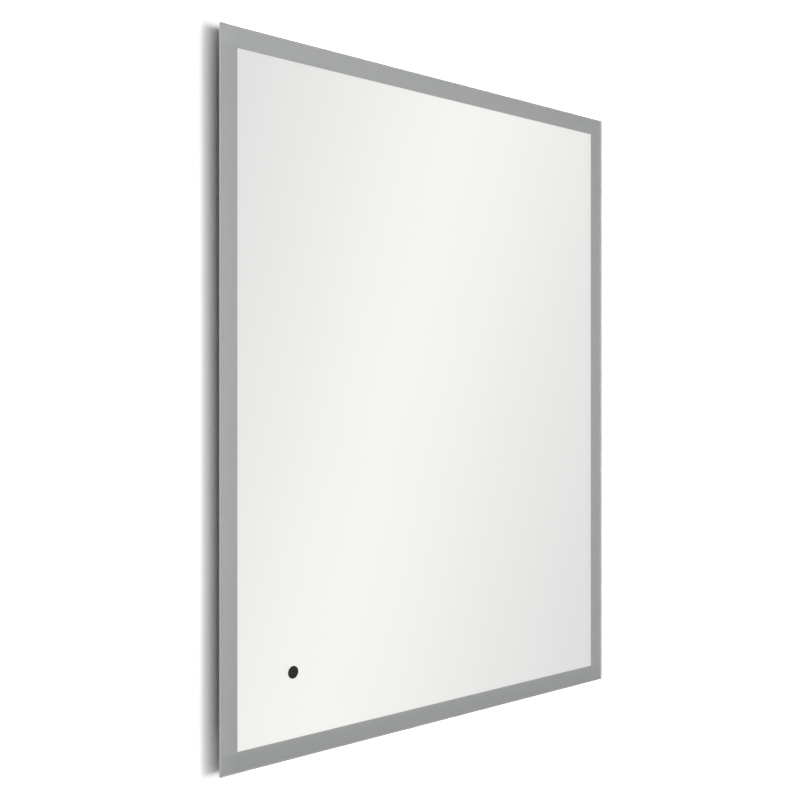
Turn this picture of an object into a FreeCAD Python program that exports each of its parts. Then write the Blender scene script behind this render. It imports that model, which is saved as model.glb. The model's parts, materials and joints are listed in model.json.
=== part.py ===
import FreeCAD, Part
import math
import os

# Lighted bathroom mirror, in millimetres.
# The origin is midway between the wall rail's two screw slots, on the wall's surface.
# +Z is up, the wall is the plane y = 0, and the mirror faces -Y.

# Glass and what is on its back
glass_width = 600.0
glass_height = 750.0
glass_thickness = 5.0
glass_edge_chamfer = 0.8
border_width = 20.8
silver_thickness = 0.1
film_thickness = 0.2
film_margin = 1.5
tape_thickness = 1.0
tape_width = 20.0
tape_end_gap = 6.0

# Aluminium frame, an H section with its outer channel open for the light
frame_inset = 25.0
member_width = 24.0
frame_depth = 18.0
flange_thickness = 1.6
web_thickness = 1.6
channel_depth = 8.0
seat_rib_height = 1.2
seat_rib_width = 0.8

# The frame's inner channel: a lane beside the web for the screws that come through the cover,
# and corner brackets inside that lane
screw_lane_wall = 1.2
bracket_leg_length = 60.0
bracket_leg_width = 7.0
bracket_leg_thickness = 2.0
bracket_to_web_gap = 0.4
corner_screw_steps = (22.0, 44.0)

# Light
strip_width = 10.0
strip_thickness = 1.0
strip_end_gap = 7.0
led_pitch = 15.0
led_length = 3.5
led_width = 2.8
led_height = 0.8
link_diameter = 1.6
link_overlap = 3.0
link_bend_radius = 2.5
diffuser_thickness = 1.5
diffuser_leg_depth = 4.5
diffuser_leg_thickness = 1.2

# Wall rail, hooks and brackets, in folded sheet
rail_length = 300.0
rail_sheet = 2.0
rail_below_screws = 12.0
rail_step_height = 10.0
rail_lip_height = 14.0
rail_slot_spacing = 240.0
rail_slot_width = 5.5
rail_slot_length = 12.0
rail_drop = 62.0
rail_bend_share = 0.8
hook_sheet = 2.0
hook_width = 30.0
hook_from_rail_end = 8.0
hook_lip_engagement = 12.0
hook_to_wall_gap = 0.9
hook_to_rail_gap = 0.5
hook_tail = 24.0
hanger_sheet = 1.5
hanger_width = 56.0
hanger_to_rail_end_gap = 3.0
hanger_to_hook_gap = 0.1
hanger_ear_width = 16.0
hanger_ear_to_wall = 1.0
hanger_screw_steps = (8.0, 22.0)

# Height adjustment
adjust_travel = 4.0
adjust_spare = 2.0
adjuster_diameter = 4.0
adjuster_head_diameter = 7.0
adjuster_head_height = 2.6
adjuster_slot_width = 1.0
adjuster_from_hanger_edge = 22.0
adjuster_clearance = 0.3
thread_clearance = 0.05
nut_height = 10.0
nut_width = 12.0
nut_wall = 0.6
clip_diameter = 7.0
clip_thickness = 0.8
clip_mouth_width = 2.4
clip_play = 0.2
stud_diameter = 4.8
stud_head_diameter = 7.6
stud_head_height = 1.2
stud_from_hanger_edge = 7.0
stud_clearance = 0.1

# Back cover and its screws
cover_thickness = 1.0
cover_margin = 1.0
screw_diameter = 3.5
screw_head_diameter = 7.0
screw_head_height = 2.2
screw_head_round = 0.9
screw_recess_length = 3.8
screw_recess_width = 1.0
screw_recess_depth = 1.1
screw_grip = 5.0
screw_clearance = 0.05
cover_screw_top_x = 80.0
cover_screw_bottom_x = 120.0
cover_screw_side_z = 210.0
countersunk_diameter = 3.0
countersunk_head_diameter = 5.6

# LED driver on the back cover, measured from the mirror's centre
driver_length = 150.0
driver_width = 42.0
driver_height = 15.0
driver_wall = 1.6
driver_below_centre = 205.0
driver_ear_length = 14.0
driver_ear_width = 16.0
driver_ear_height = 4.0
driver_board_length = 132.0
driver_board_thickness = 1.6
driver_board_lift = 2.0
transformer_size = 20.0
transformer_height = 8.0
transformer_coil_width = 12.4
transformer_limb_width = 10.0
transformer_window_width = 2.5
capacitor_diameter = 7.0
capacitor_length = 12.0
capacitor_gap = 1.0
capacitor_count = 3

# Wiring tray, behind an access lid in the back cover
tray_centre_x = 152.0
tray_length = 72.0
tray_width = 46.0
tray_depth = 16.0
tray_wall = 1.6
tray_rim = 7.0
opening_margin = 1.0
lid_thickness = 1.0
lid_rim = 7.0
terminal_length = 22.0
terminal_pitch = 10.0
terminal_poles = 3
terminal_height = 12.0
terminal_from_left = 4.0
clamp_tube_diameter = 5.0
clamp_tube_bore = 3.4
clamp_tube_inset = 1.3
terminal_screw_diameter = 3.0
terminal_screw_length = 4.5
terminal_screw_below_top = 0.9
terminal_slot_width = 0.6
terminal_slot_depth = 0.9
saddle_length = 8.0
saddle_gap = 5.0
saddle_bore = 8.0
saddle_foot_thickness = 2.5
saddle_wall = 2.0
saddle_screw_head = 6.0
saddle_screw_gap = 0.5
grommet_from_right = 13.0
grommet_bore = 8.4
grommet_hole = 11.0
grommet_flange_diameter = 15.0
grommet_flange_thickness = 1.5

# Infrared sensor, measured from the glass's left and bottom edges
sensor_from_left = 90.0
sensor_from_bottom = 90.0
window_diameter = 13.4
lens_clearance = 0.2
lens_flange_diameter = 18.0
lens_flange_thickness = 2.0
sensor_size = 26.0
sensor_depth = 10.0
sensor_wall = 1.5
sensor_ledge = 1.0
sensor_board_thickness = 1.6
gasket_outer_diameter = 25.0

# Leads held inside
supply_lead_diameter = 5.0
led_lead_diameter = 3.5
sensor_lead_diameter = 3.0
lead_to_ear_gap = 1.0
lead_to_clip_gap = 0.05
lead_bend_share = 0.45
led_lead_rise = 40.0
clip_block_length = 8.0
clip_block_wall = 2.0
clip_block_gap = 6.0

# Rubber wall bumpers
bumper_diameter = 22.0
bumper_chamfer = 1.5
bumper_from_side = 60.0

# How near an edge lies to a place to count as there
place_tolerance = 0.001

# Depths, from the wall forwards
hook_lip_back = -hook_to_wall_gap
rail_lip_back = hook_lip_back - hook_sheet - hook_to_rail_gap
rail_lip_front = rail_lip_back - rail_sheet
hook_back = rail_lip_front - hook_to_rail_gap
hook_front = hook_back - hook_sheet
hanger_back = hook_front - hanger_to_hook_gap
cover_back = hanger_back - hanger_sheet
frame_back = cover_back - cover_thickness
frame_front = frame_back - frame_depth
film_back = frame_front - tape_thickness
silver_back = film_back - film_thickness
glass_back = silver_back - silver_thickness
glass_front = glass_back - glass_thickness

# Places on the wall
centre_z = rail_drop - glass_height / 2
rail_top = rail_step_height + rail_lip_height
nut_z = rail_top / 2
screw_hole_radius = screw_diameter / 2 + screw_clearance
screw_lane_inset = frame_inset + channel_depth + web_thickness + screw_lane_wall + screw_hole_radius
bracket_inset = screw_lane_inset + screw_hole_radius + bracket_to_web_gap
corner_screw_inset = bracket_inset + bracket_leg_width / 2
driver_z = centre_z - driver_below_centre
sensor_x = -glass_width / 2 + sensor_from_left
sensor_z = centre_z - glass_height / 2 + sensor_from_bottom
lead_y = frame_back - driver_ear_height - lead_to_ear_gap - supply_lead_diameter / 2
lead_exit = driver_ear_width / 2 + clip_block_wall + led_lead_diameter / 2 + lead_to_ear_gap


def inset_x(side, inset):
    """The x of a line that runs parallel to the glass's left (-1) or right (1) edge."""
    return side * (glass_width / 2 - inset)


def inset_z(side, inset):
    """The z of a line that runs parallel to the glass's bottom (-1) or top (1) edge."""
    return centre_z + side * (glass_height / 2 - inset)


def block(x_pair, y_pair, z_pair):
    """A box between two places on each axis."""
    pairs = (x_pair, y_pair, z_pair)
    corner = FreeCAD.Vector(*[min(pair) for pair in pairs])
    sizes = [max(pair) - min(pair) for pair in pairs]
    return Part.makeBox(sizes[0], sizes[1], sizes[2], corner)


def rod_along_y(x, z, y_pair, diameter):
    """A round bar square to the wall."""
    start = FreeCAD.Vector(x, min(y_pair), z)
    return Part.makeCylinder(diameter / 2, abs(y_pair[1] - y_pair[0]), start, FreeCAD.Vector(0, 1, 0))


def rod_along_z(x, y, z_pair, diameter):
    """An upright round bar."""
    start = FreeCAD.Vector(x, y, min(z_pair))
    return Part.makeCylinder(diameter / 2, abs(z_pair[1] - z_pair[0]), start)


def rod_along_x(y, z, x_pair, diameter):
    """A level round bar along the wall."""
    start = FreeCAD.Vector(min(x_pair), y, z)
    return Part.makeCylinder(diameter / 2, abs(x_pair[1] - x_pair[0]), start, FreeCAD.Vector(1, 0, 0))


def slot_along_x(x, z, y_pair, width, length):
    """A level slot with round ends, cut square to the wall."""
    half = (length - width) / 2
    shape = block((x - half, x + half), y_pair, (z - width / 2, z + width / 2))
    for side in (-1, 1):
        shape = shape.fuse(rod_along_y(x + side * half, z, y_pair, width))
    return shape


def slot_along_z(x, z, y_pair, width, length):
    """An upright slot with round ends, cut square to the wall."""
    half = (length - width) / 2
    shape = block((x - width / 2, x + width / 2), y_pair, (z - half, z + half))
    for side in (-1, 1):
        shape = shape.fuse(rod_along_y(x, z + side * half, y_pair, width))
    return shape


def panel(inset, y_pair):
    """A sheet whose edges run parallel to the glass's edges."""
    return block((inset_x(-1, inset), inset_x(1, inset)), y_pair, (inset_z(-1, inset), inset_z(1, inset)))


def ring(outer_inset, inner_inset, y_pair):
    """A rectangular ring between two insets from the glass's edges."""
    return panel(outer_inset, y_pair).cut(panel(inner_inset, y_pair))


def mitre_wedge(side):
    """The room of one frame member: its outer face, and 45 degree planes at both its ends."""
    reach = frame_inset + member_width + channel_depth
    corners = {
        "left": ((-1, -1), (-1, 1)),
        "right": ((1, -1), (1, 1)),
        "bottom": ((-1, -1), (1, -1)),
        "top": ((-1, 1), (1, 1)),
    }
    first, second = corners[side]
    outline = []
    for corner, inset in ((first, 0), (second, 0), (second, reach), (first, reach)):
        outline.append(FreeCAD.Vector(inset_x(corner[0], inset), frame_front, inset_z(corner[1], inset)))
    face = Part.Face(Part.makePolygon(outline + outline[:1]))
    return face.extrude(FreeCAD.Vector(0, frame_depth, 0))


def fused(shapes):
    """Several touching or crossing shapes as one solid, without seams between them."""
    return shapes[0].multiFuse(shapes[1:]).removeSplitter()


def group(shapes):
    """Like pieces kept as separate solids in one node."""
    return Part.makeCompound(shapes)


def rounded_path(points, bend_radius=None):
    """Straight runs joined by tangent arcs. With no radius given, each arc takes a share
    of its shorter run."""
    edges = []
    start = points[0]
    for before, corner, after in zip(points, points[1:], points[2:]):
        way_in = (corner - before).normalize()
        way_out = (after - corner).normalize()
        half_turn = way_in.getAngle(way_out) / 2
        trim = lead_bend_share * min((corner - before).Length, (after - corner).Length)
        if bend_radius:
            trim = bend_radius * math.tan(half_turn)
        radius = trim / math.tan(half_turn)
        inward = (way_out - way_in).normalize()
        middle = corner + inward * (radius / math.cos(half_turn) - radius)
        arc_start = corner - way_in * trim
        arc_end = corner + way_out * trim
        edges.append(Part.LineSegment(start, arc_start).toShape())
        edges.append(Part.Arc(arc_start, middle, arc_end).toShape())
        start = arc_end
    edges.append(Part.LineSegment(start, points[-1]).toShape())
    return Part.Wire(edges)


def swept(path, section):
    """A solid made by carrying a closed section along a path."""
    return path.makePipeShell([section], True, False)


def lead(points, diameter, bend_radius=None):
    """A round lead along its route, with its bends printed."""
    path = rounded_path(points, bend_radius)
    way = (points[1] - points[0]).normalize()
    section = Part.Wire(Part.Circle(points[0], way, diameter / 2).toShape())
    solid = swept(path, section)
    radii = [edge.Curve.Radius for edge in path.Edges if isinstance(edge.Curve, Part.Circle)]
    plain_volume = math.pi * diameter ** 2 / 4 * path.Length
    print("lead", round(path.Length, 1), "mm long, bends", [round(radius, 1) for radius in radii],
          "volume ratio", round(solid.Volume / plain_volume, 4))
    return solid


def folded_sheet(profile, sheet, inner_radius, x_pair):
    """Sheet metal folded along lines parallel to X. The profile is the middle of its thickness,
    as (y, z) places."""
    points = [FreeCAD.Vector(x_pair[0], y, z) for y, z in profile]
    path = rounded_path(points, inner_radius + sheet / 2)
    way = (points[1] - points[0]).normalize()
    across = FreeCAD.Vector(1, 0, 0).cross(way) * (sheet / 2)
    along = FreeCAD.Vector(x_pair[1] - x_pair[0], 0, 0)
    start = points[0]
    outline = [start + across, start + across + along, start - across + along, start - across]
    return swept(path, Part.makePolygon(outline + outline[:1]))


def edges_at(shape, axis, place):
    """The edges that lie wholly at one place on an axis."""
    found = []
    for edge in shape.Edges:
        box = edge.BoundBox
        low, high = {"x": (box.XMin, box.XMax), "y": (box.YMin, box.YMax), "z": (box.ZMin, box.ZMax)}[axis]
        if abs(low - place) < place_tolerance and abs(high - place) < place_tolerance:
            found.append(edge)
    return found


def pan_screw(x, z, seat_y, grip, head_diameter=screw_head_diameter):
    """A cross-recessed pan head screw. Its head stands on seat_y towards the wall."""
    top = seat_y + screw_head_height
    head = rod_along_y(x, z, (seat_y, top), head_diameter)
    head = head.makeFillet(screw_head_round, edges_at(head, "y", top))
    arm = screw_recess_length / 2
    blade = screw_recess_width / 2
    recess = (top - screw_recess_depth, top)
    head = head.cut(block((x - arm, x + arm), recess, (z - blade, z + blade)))
    head = head.cut(block((x - blade, x + blade), recess, (z - arm, z + arm)))
    return head.fuse(rod_along_y(x, z, (seat_y - grip, seat_y), screw_diameter)).removeSplitter()


def screw_hole(x, z, y_pair, diameter=screw_diameter):
    """The hole for a screw square to the wall."""
    return rod_along_y(x, z, y_pair, diameter + 2 * screw_clearance)


def countersunk_cone(x, z, play):
    """The head of a countersunk screw, flush with the frame's back."""
    shank = countersunk_diameter / 2 + play
    head = countersunk_head_diameter / 2 + play
    start = FreeCAD.Vector(x, frame_back - flange_thickness, z)
    return Part.makeCone(shank, head, flange_thickness, start, FreeCAD.Vector(0, 1, 0))


# Glass and what is bonded to its back

def make_glass_pane():
    pane = panel(0, (glass_front, glass_back))
    rim = edges_at(pane, "y", glass_front) + edges_at(pane, "y", glass_back)
    return pane.makeChamfer(glass_edge_chamfer, rim)


def make_satin_border():
    return ring(glass_edge_chamfer, border_width, (glass_back, silver_back))


def make_silver_layer():
    window = rod_along_y(sensor_x, sensor_z, (glass_back, silver_back), window_diameter)
    return panel(border_width, (glass_back, silver_back)).cut(window)


def make_safety_film():
    window = rod_along_y(sensor_x, sensor_z, (silver_back, film_back), window_diameter)
    return panel(border_width + film_margin, (silver_back, film_back)).cut(window)


def make_glazing_tape():
    """Four strips of double-sided tape, with a gap at each corner."""
    outer = frame_inset + (member_width - tape_width) / 2
    inner = outer + tape_width
    end = inner + tape_end_gap
    depth = (film_back, frame_front)
    strips = []
    for side in (-1, 1):
        upright = (inset_z(-1, end), inset_z(1, end))
        level = (inset_x(-1, end), inset_x(1, end))
        strips.append(block((inset_x(side, outer), inset_x(side, inner)), depth, upright))
        strips.append(block(level, depth, (inset_z(side, outer), inset_z(side, inner))))
    return group(strips)


# Frame

def corner_screw_places():
    """The four countersunk screws of each corner bracket, two in each leg."""
    places = []
    for side_x in (-1, 1):
        for side_z in (-1, 1):
            for step in corner_screw_steps:
                away = corner_screw_inset + step
                places.append((inset_x(side_x, away), inset_z(side_z, corner_screw_inset)))
                places.append((inset_x(side_x, corner_screw_inset), inset_z(side_z, away)))
    return places


def cover_screw_places():
    """The screws round the back cover, in the lane beside the frame's web."""
    places = []
    for side in (-1, 1):
        places.append((side * cover_screw_top_x, inset_z(1, screw_lane_inset)))
        places.append((side * cover_screw_bottom_x, inset_z(-1, screw_lane_inset)))
        for level in (-1, 0, 1):
            places.append((inset_x(side, screw_lane_inset), centre_z + level * cover_screw_side_z))
    return places


def hanger_screw_places():
    """Two screws for each hanger bracket, through the cover into the frame's top member."""
    places = []
    for side in (-1, 1):
        for step in hanger_screw_steps:
            places.append((hanger_x(side, hanger_width - step), inset_z(1, screw_lane_inset)))
    return places


def led_lead_z():
    """The height at which the lead of the light comes through the left member's web."""
    return driver_z + led_lead_rise


def make_frame_member(side):
    """One mitred length of the H section, with its screw holes."""
    outer = frame_inset
    inner = frame_inset + member_width
    web = frame_inset + channel_depth
    rib = frame_inset + diffuser_leg_depth
    front_face = frame_front + flange_thickness
    back_face = frame_back - flange_thickness
    section = [
        ring(outer, inner, (frame_front, front_face)),
        ring(outer, inner, (back_face, frame_back)),
        ring(web, web + web_thickness, (frame_front, frame_back)),
        ring(rib, rib + seat_rib_width, (frame_front, front_face + seat_rib_height)),
        ring(rib, rib + seat_rib_width, (back_face - seat_rib_height, frame_back)),
    ]
    member = fused(section).common(mitre_wedge(side))
    screws = cover_screw_places() + hanger_screw_places()
    holes = [screw_hole(x, z, (back_face, frame_back)) for x, z in screws]
    for x, z in corner_screw_places():
        holes.append(countersunk_cone(x, z, screw_clearance))
    if side == "left":
        passage = (inset_x(-1, web), inset_x(-1, web + web_thickness))
        holes.append(rod_along_x(lead_y, led_lead_z(), passage, led_lead_diameter + 2 * lead_to_clip_gap))
    return member.cut(group(holes)).removeSplitter()


def make_corner_brackets():
    """Four L-shaped plates against the inside of the frame's back flange."""
    near = bracket_inset
    far = near + bracket_leg_width
    end = near + bracket_leg_length
    back = frame_back - flange_thickness
    depth = (back - bracket_leg_thickness, back)
    plates = []
    for side_x in (-1, 1):
        for side_z in (-1, 1):
            level = block((inset_x(side_x, near), inset_x(side_x, end)), depth,
                          (inset_z(side_z, near), inset_z(side_z, far)))
            upright = block((inset_x(side_x, near), inset_x(side_x, far)), depth,
                            (inset_z(side_z, near), inset_z(side_z, end)))
            plates.append(fused([level, upright]))
    holes = [screw_hole(x, z, depth, countersunk_diameter) for x, z in corner_screw_places()]
    return group([plate.cut(group(holes)) for plate in plates])


def make_corner_screws():
    """Countersunk screws, flush with the back of the frame."""
    seat = frame_back - flange_thickness
    screws = []
    for x, z in corner_screw_places():
        shank = rod_along_y(x, z, (seat - bracket_leg_thickness, seat), countersunk_diameter)
        screws.append(fused([countersunk_cone(x, z, 0), shank]))
    return group(screws)


# Light

def strip_run(side, end_gap):
    """The outer face of the frame's web on one side, as x and z pairs, short of its corners.
    The pair across the face runs from the web outwards by the strip's thickness."""
    web = frame_inset + channel_depth
    level = (inset_x(-1, web + end_gap), inset_x(1, web + end_gap))
    upright = (inset_z(-1, web + end_gap), inset_z(1, web + end_gap))
    face = web - strip_thickness
    return {
        "left": ((inset_x(-1, web), inset_x(-1, face)), upright),
        "right": ((inset_x(1, web), inset_x(1, face)), upright),
        "bottom": (level, (inset_z(-1, web), inset_z(-1, face))),
        "top": (level, (inset_z(1, web), inset_z(1, face))),
    }[side]


def make_led_strip(side):
    """The circuit strip on the floor of the outer channel."""
    middle = (frame_front + frame_back) / 2
    x_pair, z_pair = strip_run(side, strip_end_gap)
    return block(x_pair, (middle - strip_width / 2, middle + strip_width / 2), z_pair)


def make_led_packages():
    """The small light packages along the four strips, all facing out of the frame."""
    middle = (frame_front + frame_back) / 2
    depth = (middle - led_width / 2, middle + led_width / 2)
    packages = []
    for side, out_x, out_z in (("left", -1, 0), ("right", 1, 0), ("bottom", 0, -1), ("top", 0, 1)):
        x_pair, z_pair = strip_run(side, strip_end_gap)
        run = z_pair if out_x else x_pair
        span = run[1] - run[0]
        count = int(span / led_pitch)
        first = run[0] + (span - (count - 1) * led_pitch) / 2
        for index in range(count):
            place = first + index * led_pitch
            along = (place - led_length / 2, place + led_length / 2)
            if out_x:
                packages.append(block((x_pair[1], x_pair[1] + out_x * led_height), depth, along))
            else:
                packages.append(block(along, depth, (z_pair[1], z_pair[1] + out_z * led_height)))
    return group(packages)


def make_strip_links():
    """Short leads that join neighbouring strips round three of the four corners."""
    line = frame_inset + channel_depth - strip_thickness - link_diameter / 2
    end = frame_inset + channel_depth + strip_end_gap + link_overlap
    middle = (frame_front + frame_back) / 2
    links = []
    for side_x, side_z in ((-1, 1), (1, 1), (1, -1)):
        points = [
            FreeCAD.Vector(inset_x(side_x, end), middle, inset_z(side_z, line)),
            FreeCAD.Vector(inset_x(side_x, line), middle, inset_z(side_z, line)),
            FreeCAD.Vector(inset_x(side_x, line), middle, inset_z(side_z, end)),
        ]
        links.append(lead(points, link_diameter, link_bend_radius))
    return group(links)


def make_diffuser(side):
    """One opal cover, a shallow channel pressed into the mouth of the frame's outer channel."""
    front = frame_front + flange_thickness
    back = frame_back - flange_thickness
    face = ring(frame_inset, frame_inset + diffuser_thickness, (front, back))
    front_leg = ring(frame_inset, frame_inset + diffuser_leg_depth, (front, front + diffuser_leg_thickness))
    back_leg = ring(frame_inset, frame_inset + diffuser_leg_depth, (back - diffuser_leg_thickness, back))
    return fused([face, front_leg, back_leg]).common(mitre_wedge(side))


# Hanging

def make_wall_rail():
    """A folded rail: a foot on the wall with two slots, a step, and a lip that stands up."""
    lip_mid = (rail_lip_front + rail_lip_back) / 2
    profile = [
        (-rail_sheet / 2, -rail_below_screws),
        (-rail_sheet / 2, rail_step_height - rail_sheet / 2),
        (lip_mid, rail_step_height - rail_sheet / 2),
        (lip_mid, rail_top),
    ]
    radius = (abs(lip_mid + rail_sheet / 2) / 2 - rail_sheet / 2) * rail_bend_share
    rail = folded_sheet(profile, rail_sheet, radius, (-rail_length / 2, rail_length / 2))
    for side in (-1, 1):
        x = side * rail_slot_spacing / 2
        rail = rail.cut(slot_along_x(x, 0, (-rail_sheet, 0), rail_slot_width, rail_slot_length))
    return rail


def hanger_x(side, from_inner_edge):
    """An x on the left (-1) or right (1) hanger bracket, which starts just past the rail's end."""
    return side * (rail_length / 2 + hanger_to_rail_end_gap + from_inner_edge)


def adjuster_y():
    """The depth of an adjusting screw's axis, with its head clear of the hanger bracket."""
    return hanger_back + adjuster_clearance + adjuster_head_diameter / 2


def ear_places():
    """The z pairs of a hanger bracket's lower and upper ears."""
    room = adjust_travel + adjust_spare
    low = rail_top - hook_tail - room
    high = rail_top + hook_sheet + room
    return (low - hanger_sheet, low), (high, high + hanger_sheet)


def make_hanger_hook(side):
    """A hook that hangs on the rail's lip, with a tail that carries the adjusting screw's nut."""
    plate_mid = (hook_front + hook_back) / 2
    lip_mid = hook_lip_back - hook_sheet / 2
    bottom = rail_top - hook_tail
    bridge = rail_top + hook_sheet / 2
    profile = [
        (plate_mid, bottom),
        (plate_mid, bridge),
        (lip_mid, bridge),
        (lip_mid, rail_top - hook_lip_engagement),
    ]
    far = rail_length / 2 - hook_from_rail_end
    x_pair = sorted((side * (far - hook_width), side * far))
    folded = folded_sheet(profile, hook_sheet, hook_to_rail_gap, x_pair)
    nut_start = adjuster_from_hanger_edge - nut_width / 2
    tail = block((side * far, hanger_x(side, nut_start)), (hook_front, hook_back), (bottom, rail_top))
    nut_back = adjuster_y() + adjuster_diameter / 2 + thread_clearance + nut_wall
    nut = block((hanger_x(side, nut_start), hanger_x(side, nut_start + nut_width)),
                (hook_front, nut_back), (nut_z - nut_height / 2, nut_z + nut_height / 2))
    hook = fused([folded, tail, nut])
    bore = rod_along_z(hanger_x(side, adjuster_from_hanger_edge), adjuster_y(),
                       (nut_z - nut_height / 2, nut_z + nut_height / 2),
                       adjuster_diameter + 2 * thread_clearance)
    slot = slot_along_z(hanger_x(side, stud_from_hanger_edge), nut_z, (hook_front, hook_back),
                        stud_diameter + 2 * stud_clearance,
                        stud_diameter + 2 * stud_clearance + 2 * adjust_travel + stud_clearance)
    return hook.cut(bore).cut(slot)


def make_hanger_bracket(side):
    """A plate screwed to the frame, with two ears that hold the adjusting screw."""
    low_ear, high_ear = ear_places()
    plate = block((hanger_x(side, 0), hanger_x(side, hanger_width)), (cover_back, hanger_back),
                  (low_ear[0], high_ear[1]))
    ear_x = [hanger_x(side, adjuster_from_hanger_edge + step * hanger_ear_width / 2) for step in (-1, 1)]
    ears = [block(ear_x, (hanger_back, -hanger_ear_to_wall), pair) for pair in (low_ear, high_ear)]
    bracket = fused([plate] + ears)
    bore = rod_along_z(hanger_x(side, adjuster_from_hanger_edge), adjuster_y(), (low_ear[0], high_ear[1]),
                       adjuster_diameter + 2 * thread_clearance)
    holes = [screw_hole(x, z, (cover_back, hanger_back)) for x, z in hanger_screw_places()]
    return bracket.cut(group([bore] + holes))


def make_hanger_screws():
    return group([pan_screw(x, z, hanger_back, screw_grip) for x, z in hanger_screw_places()])


def make_guide_studs():
    """Shouldered studs on the hanger brackets. The hooks slide up and down on them."""
    studs = []
    for side in (-1, 1):
        x = hanger_x(side, stud_from_hanger_edge)
        head_front = hook_back + stud_clearance
        shank = rod_along_y(x, nut_z, (hanger_back, head_front), stud_diameter)
        head = rod_along_y(x, nut_z, (head_front, head_front + stud_head_height), stud_head_diameter)
        studs.append(fused([shank, head]))
    return group(studs)


def make_adjuster_screw(side):
    """A slotted cheese head screw that turns in the hanger bracket's two ears."""
    low_ear, high_ear = ear_places()
    x = hanger_x(side, adjuster_from_hanger_edge)
    tip = low_ear[0] - clip_play - 2 * clip_thickness
    seat = high_ear[1]
    head = rod_along_z(x, adjuster_y(), (seat, seat + adjuster_head_height), adjuster_head_diameter)
    shank = rod_along_z(x, adjuster_y(), (tip, seat), adjuster_diameter)
    half = adjuster_head_diameter / 2
    slot = block((x - adjuster_slot_width / 2, x + adjuster_slot_width / 2),
                 (adjuster_y() - half, adjuster_y() + half),
                 (seat + adjuster_head_height / 2, seat + adjuster_head_height))
    return fused([head, shank]).cut(slot)


def make_adjuster_clip(side):
    """A retaining clip round the screw's tip, under the lower ear."""
    low_ear, _ = ear_places()
    x = hanger_x(side, adjuster_from_hanger_edge)
    top = low_ear[0] - clip_play
    pair = (top - clip_thickness, top)
    disc = rod_along_z(x, adjuster_y(), pair, clip_diameter)
    mouth = block((x, x + side * clip_diameter),
                  (adjuster_y() - clip_mouth_width / 2, adjuster_y() + clip_mouth_width / 2), pair)
    bore = rod_along_z(x, adjuster_y(), pair, adjuster_diameter)
    return disc.cut(bore).cut(mouth)


def make_wall_bumpers():
    """Two rubber feet on the back cover's lower corners, which rest on the wall."""
    bumpers = []
    for side in (-1, 1):
        x = inset_x(side, bumper_from_side)
        z = inset_z(-1, bumper_from_side)
        foot = rod_along_y(x, z, (cover_back, 0), bumper_diameter)
        bumpers.append(foot.makeChamfer(bumper_chamfer, edges_at(foot, "y", 0)))
    return group(bumpers)


# Back cover

def driver_screw_places():
    """One screw for each of the driver's ears."""
    reach = driver_length / 2 + driver_ear_length / 2
    return [(-reach, driver_z), (reach, driver_z)]


def lid_screw_places():
    """The access lid's four corner screws, which also hold the tray."""
    across = tray_length / 2 + tray_rim / 2
    up = tray_width / 2 + tray_rim / 2
    return [(tray_centre_x + a * across, driver_z + b * up) for a in (-1, 1) for b in (-1, 1)]


def tray_pairs(margin):
    """The wiring tray's inner room in x and z, made larger by a margin."""
    half_length = tray_length / 2 + margin
    half_width = tray_width / 2 + margin
    x_pair = (tray_centre_x - half_length, tray_centre_x + half_length)
    return x_pair, (driver_z - half_width, driver_z + half_width)


def make_back_cover():
    depth = (frame_back, cover_back)
    cover = panel(frame_inset + cover_margin, depth)
    opening_x, opening_z = tray_pairs(-opening_margin)
    holes = [block(opening_x, depth, opening_z)]
    places = cover_screw_places() + hanger_screw_places() + driver_screw_places() + lid_screw_places()
    for x, z in places:
        holes.append(screw_hole(x, z, depth))
    return cover.cut(group(holes))


def make_cover_screws():
    return group([pan_screw(x, z, cover_back, screw_grip) for x, z in cover_screw_places()])


# LED driver

def make_driver_case():
    """An open case on the back cover, with an ear at each end."""
    half_length = driver_length / 2
    half_width = driver_width / 2
    front = frame_back - driver_height + driver_wall
    shell = block((-half_length, half_length), (front, frame_back),
                  (driver_z - half_width, driver_z + half_width))
    hollow = block((-half_length + driver_wall, half_length - driver_wall), (front, frame_back - driver_wall),
                   (driver_z - half_width + driver_wall, driver_z + half_width - driver_wall))
    reach = half_length + driver_ear_length
    ears = block((-reach, reach), (frame_back - driver_ear_height, frame_back),
                 (driver_z - driver_ear_width / 2, driver_z + driver_ear_width / 2))
    case = fused([shell, ears]).cut(hollow)
    holes = [screw_hole(x, z, (frame_back - driver_ear_height, frame_back)) for x, z in driver_screw_places()]
    return case.cut(group(holes))


def make_driver_lid():
    half_length = driver_length / 2
    half_width = driver_width / 2
    front = frame_back - driver_height
    back = front + driver_wall
    plate = block((-half_length, half_length), (front, back), (driver_z - half_width, driver_z + half_width))
    lip = block((-half_length + driver_wall, half_length - driver_wall), (back, back + driver_wall),
                (driver_z - half_width + driver_wall, driver_z + half_width - driver_wall))
    inner = block((-half_length + 2 * driver_wall, half_length - 2 * driver_wall), (back, back + driver_wall),
                  (driver_z - half_width + 2 * driver_wall, driver_z + half_width - 2 * driver_wall))
    return fused([plate, lip.cut(inner)])


def board_face():
    """The y of the driver board's upper face, on which its components stand."""
    return frame_back - driver_wall - driver_board_lift - driver_board_thickness


def make_driver_board():
    """The board and the four short posts that it stands on."""
    half_length = driver_board_length / 2
    half_width = driver_width / 2 - 2 * driver_wall
    low = board_face() + driver_board_thickness
    board = block((-half_length, half_length), (board_face(), low),
                  (driver_z - half_width, driver_z + half_width))
    posts = []
    for side_x in (-1, 1):
        for side_z in (-1, 1):
            posts.append(rod_along_y(side_x * (half_length - driver_board_lift * 2),
                                     driver_z + side_z * (half_width - driver_board_lift * 2),
                                     (low, low + driver_board_lift), driver_board_lift * 2))
    return fused([board] + posts)


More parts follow.
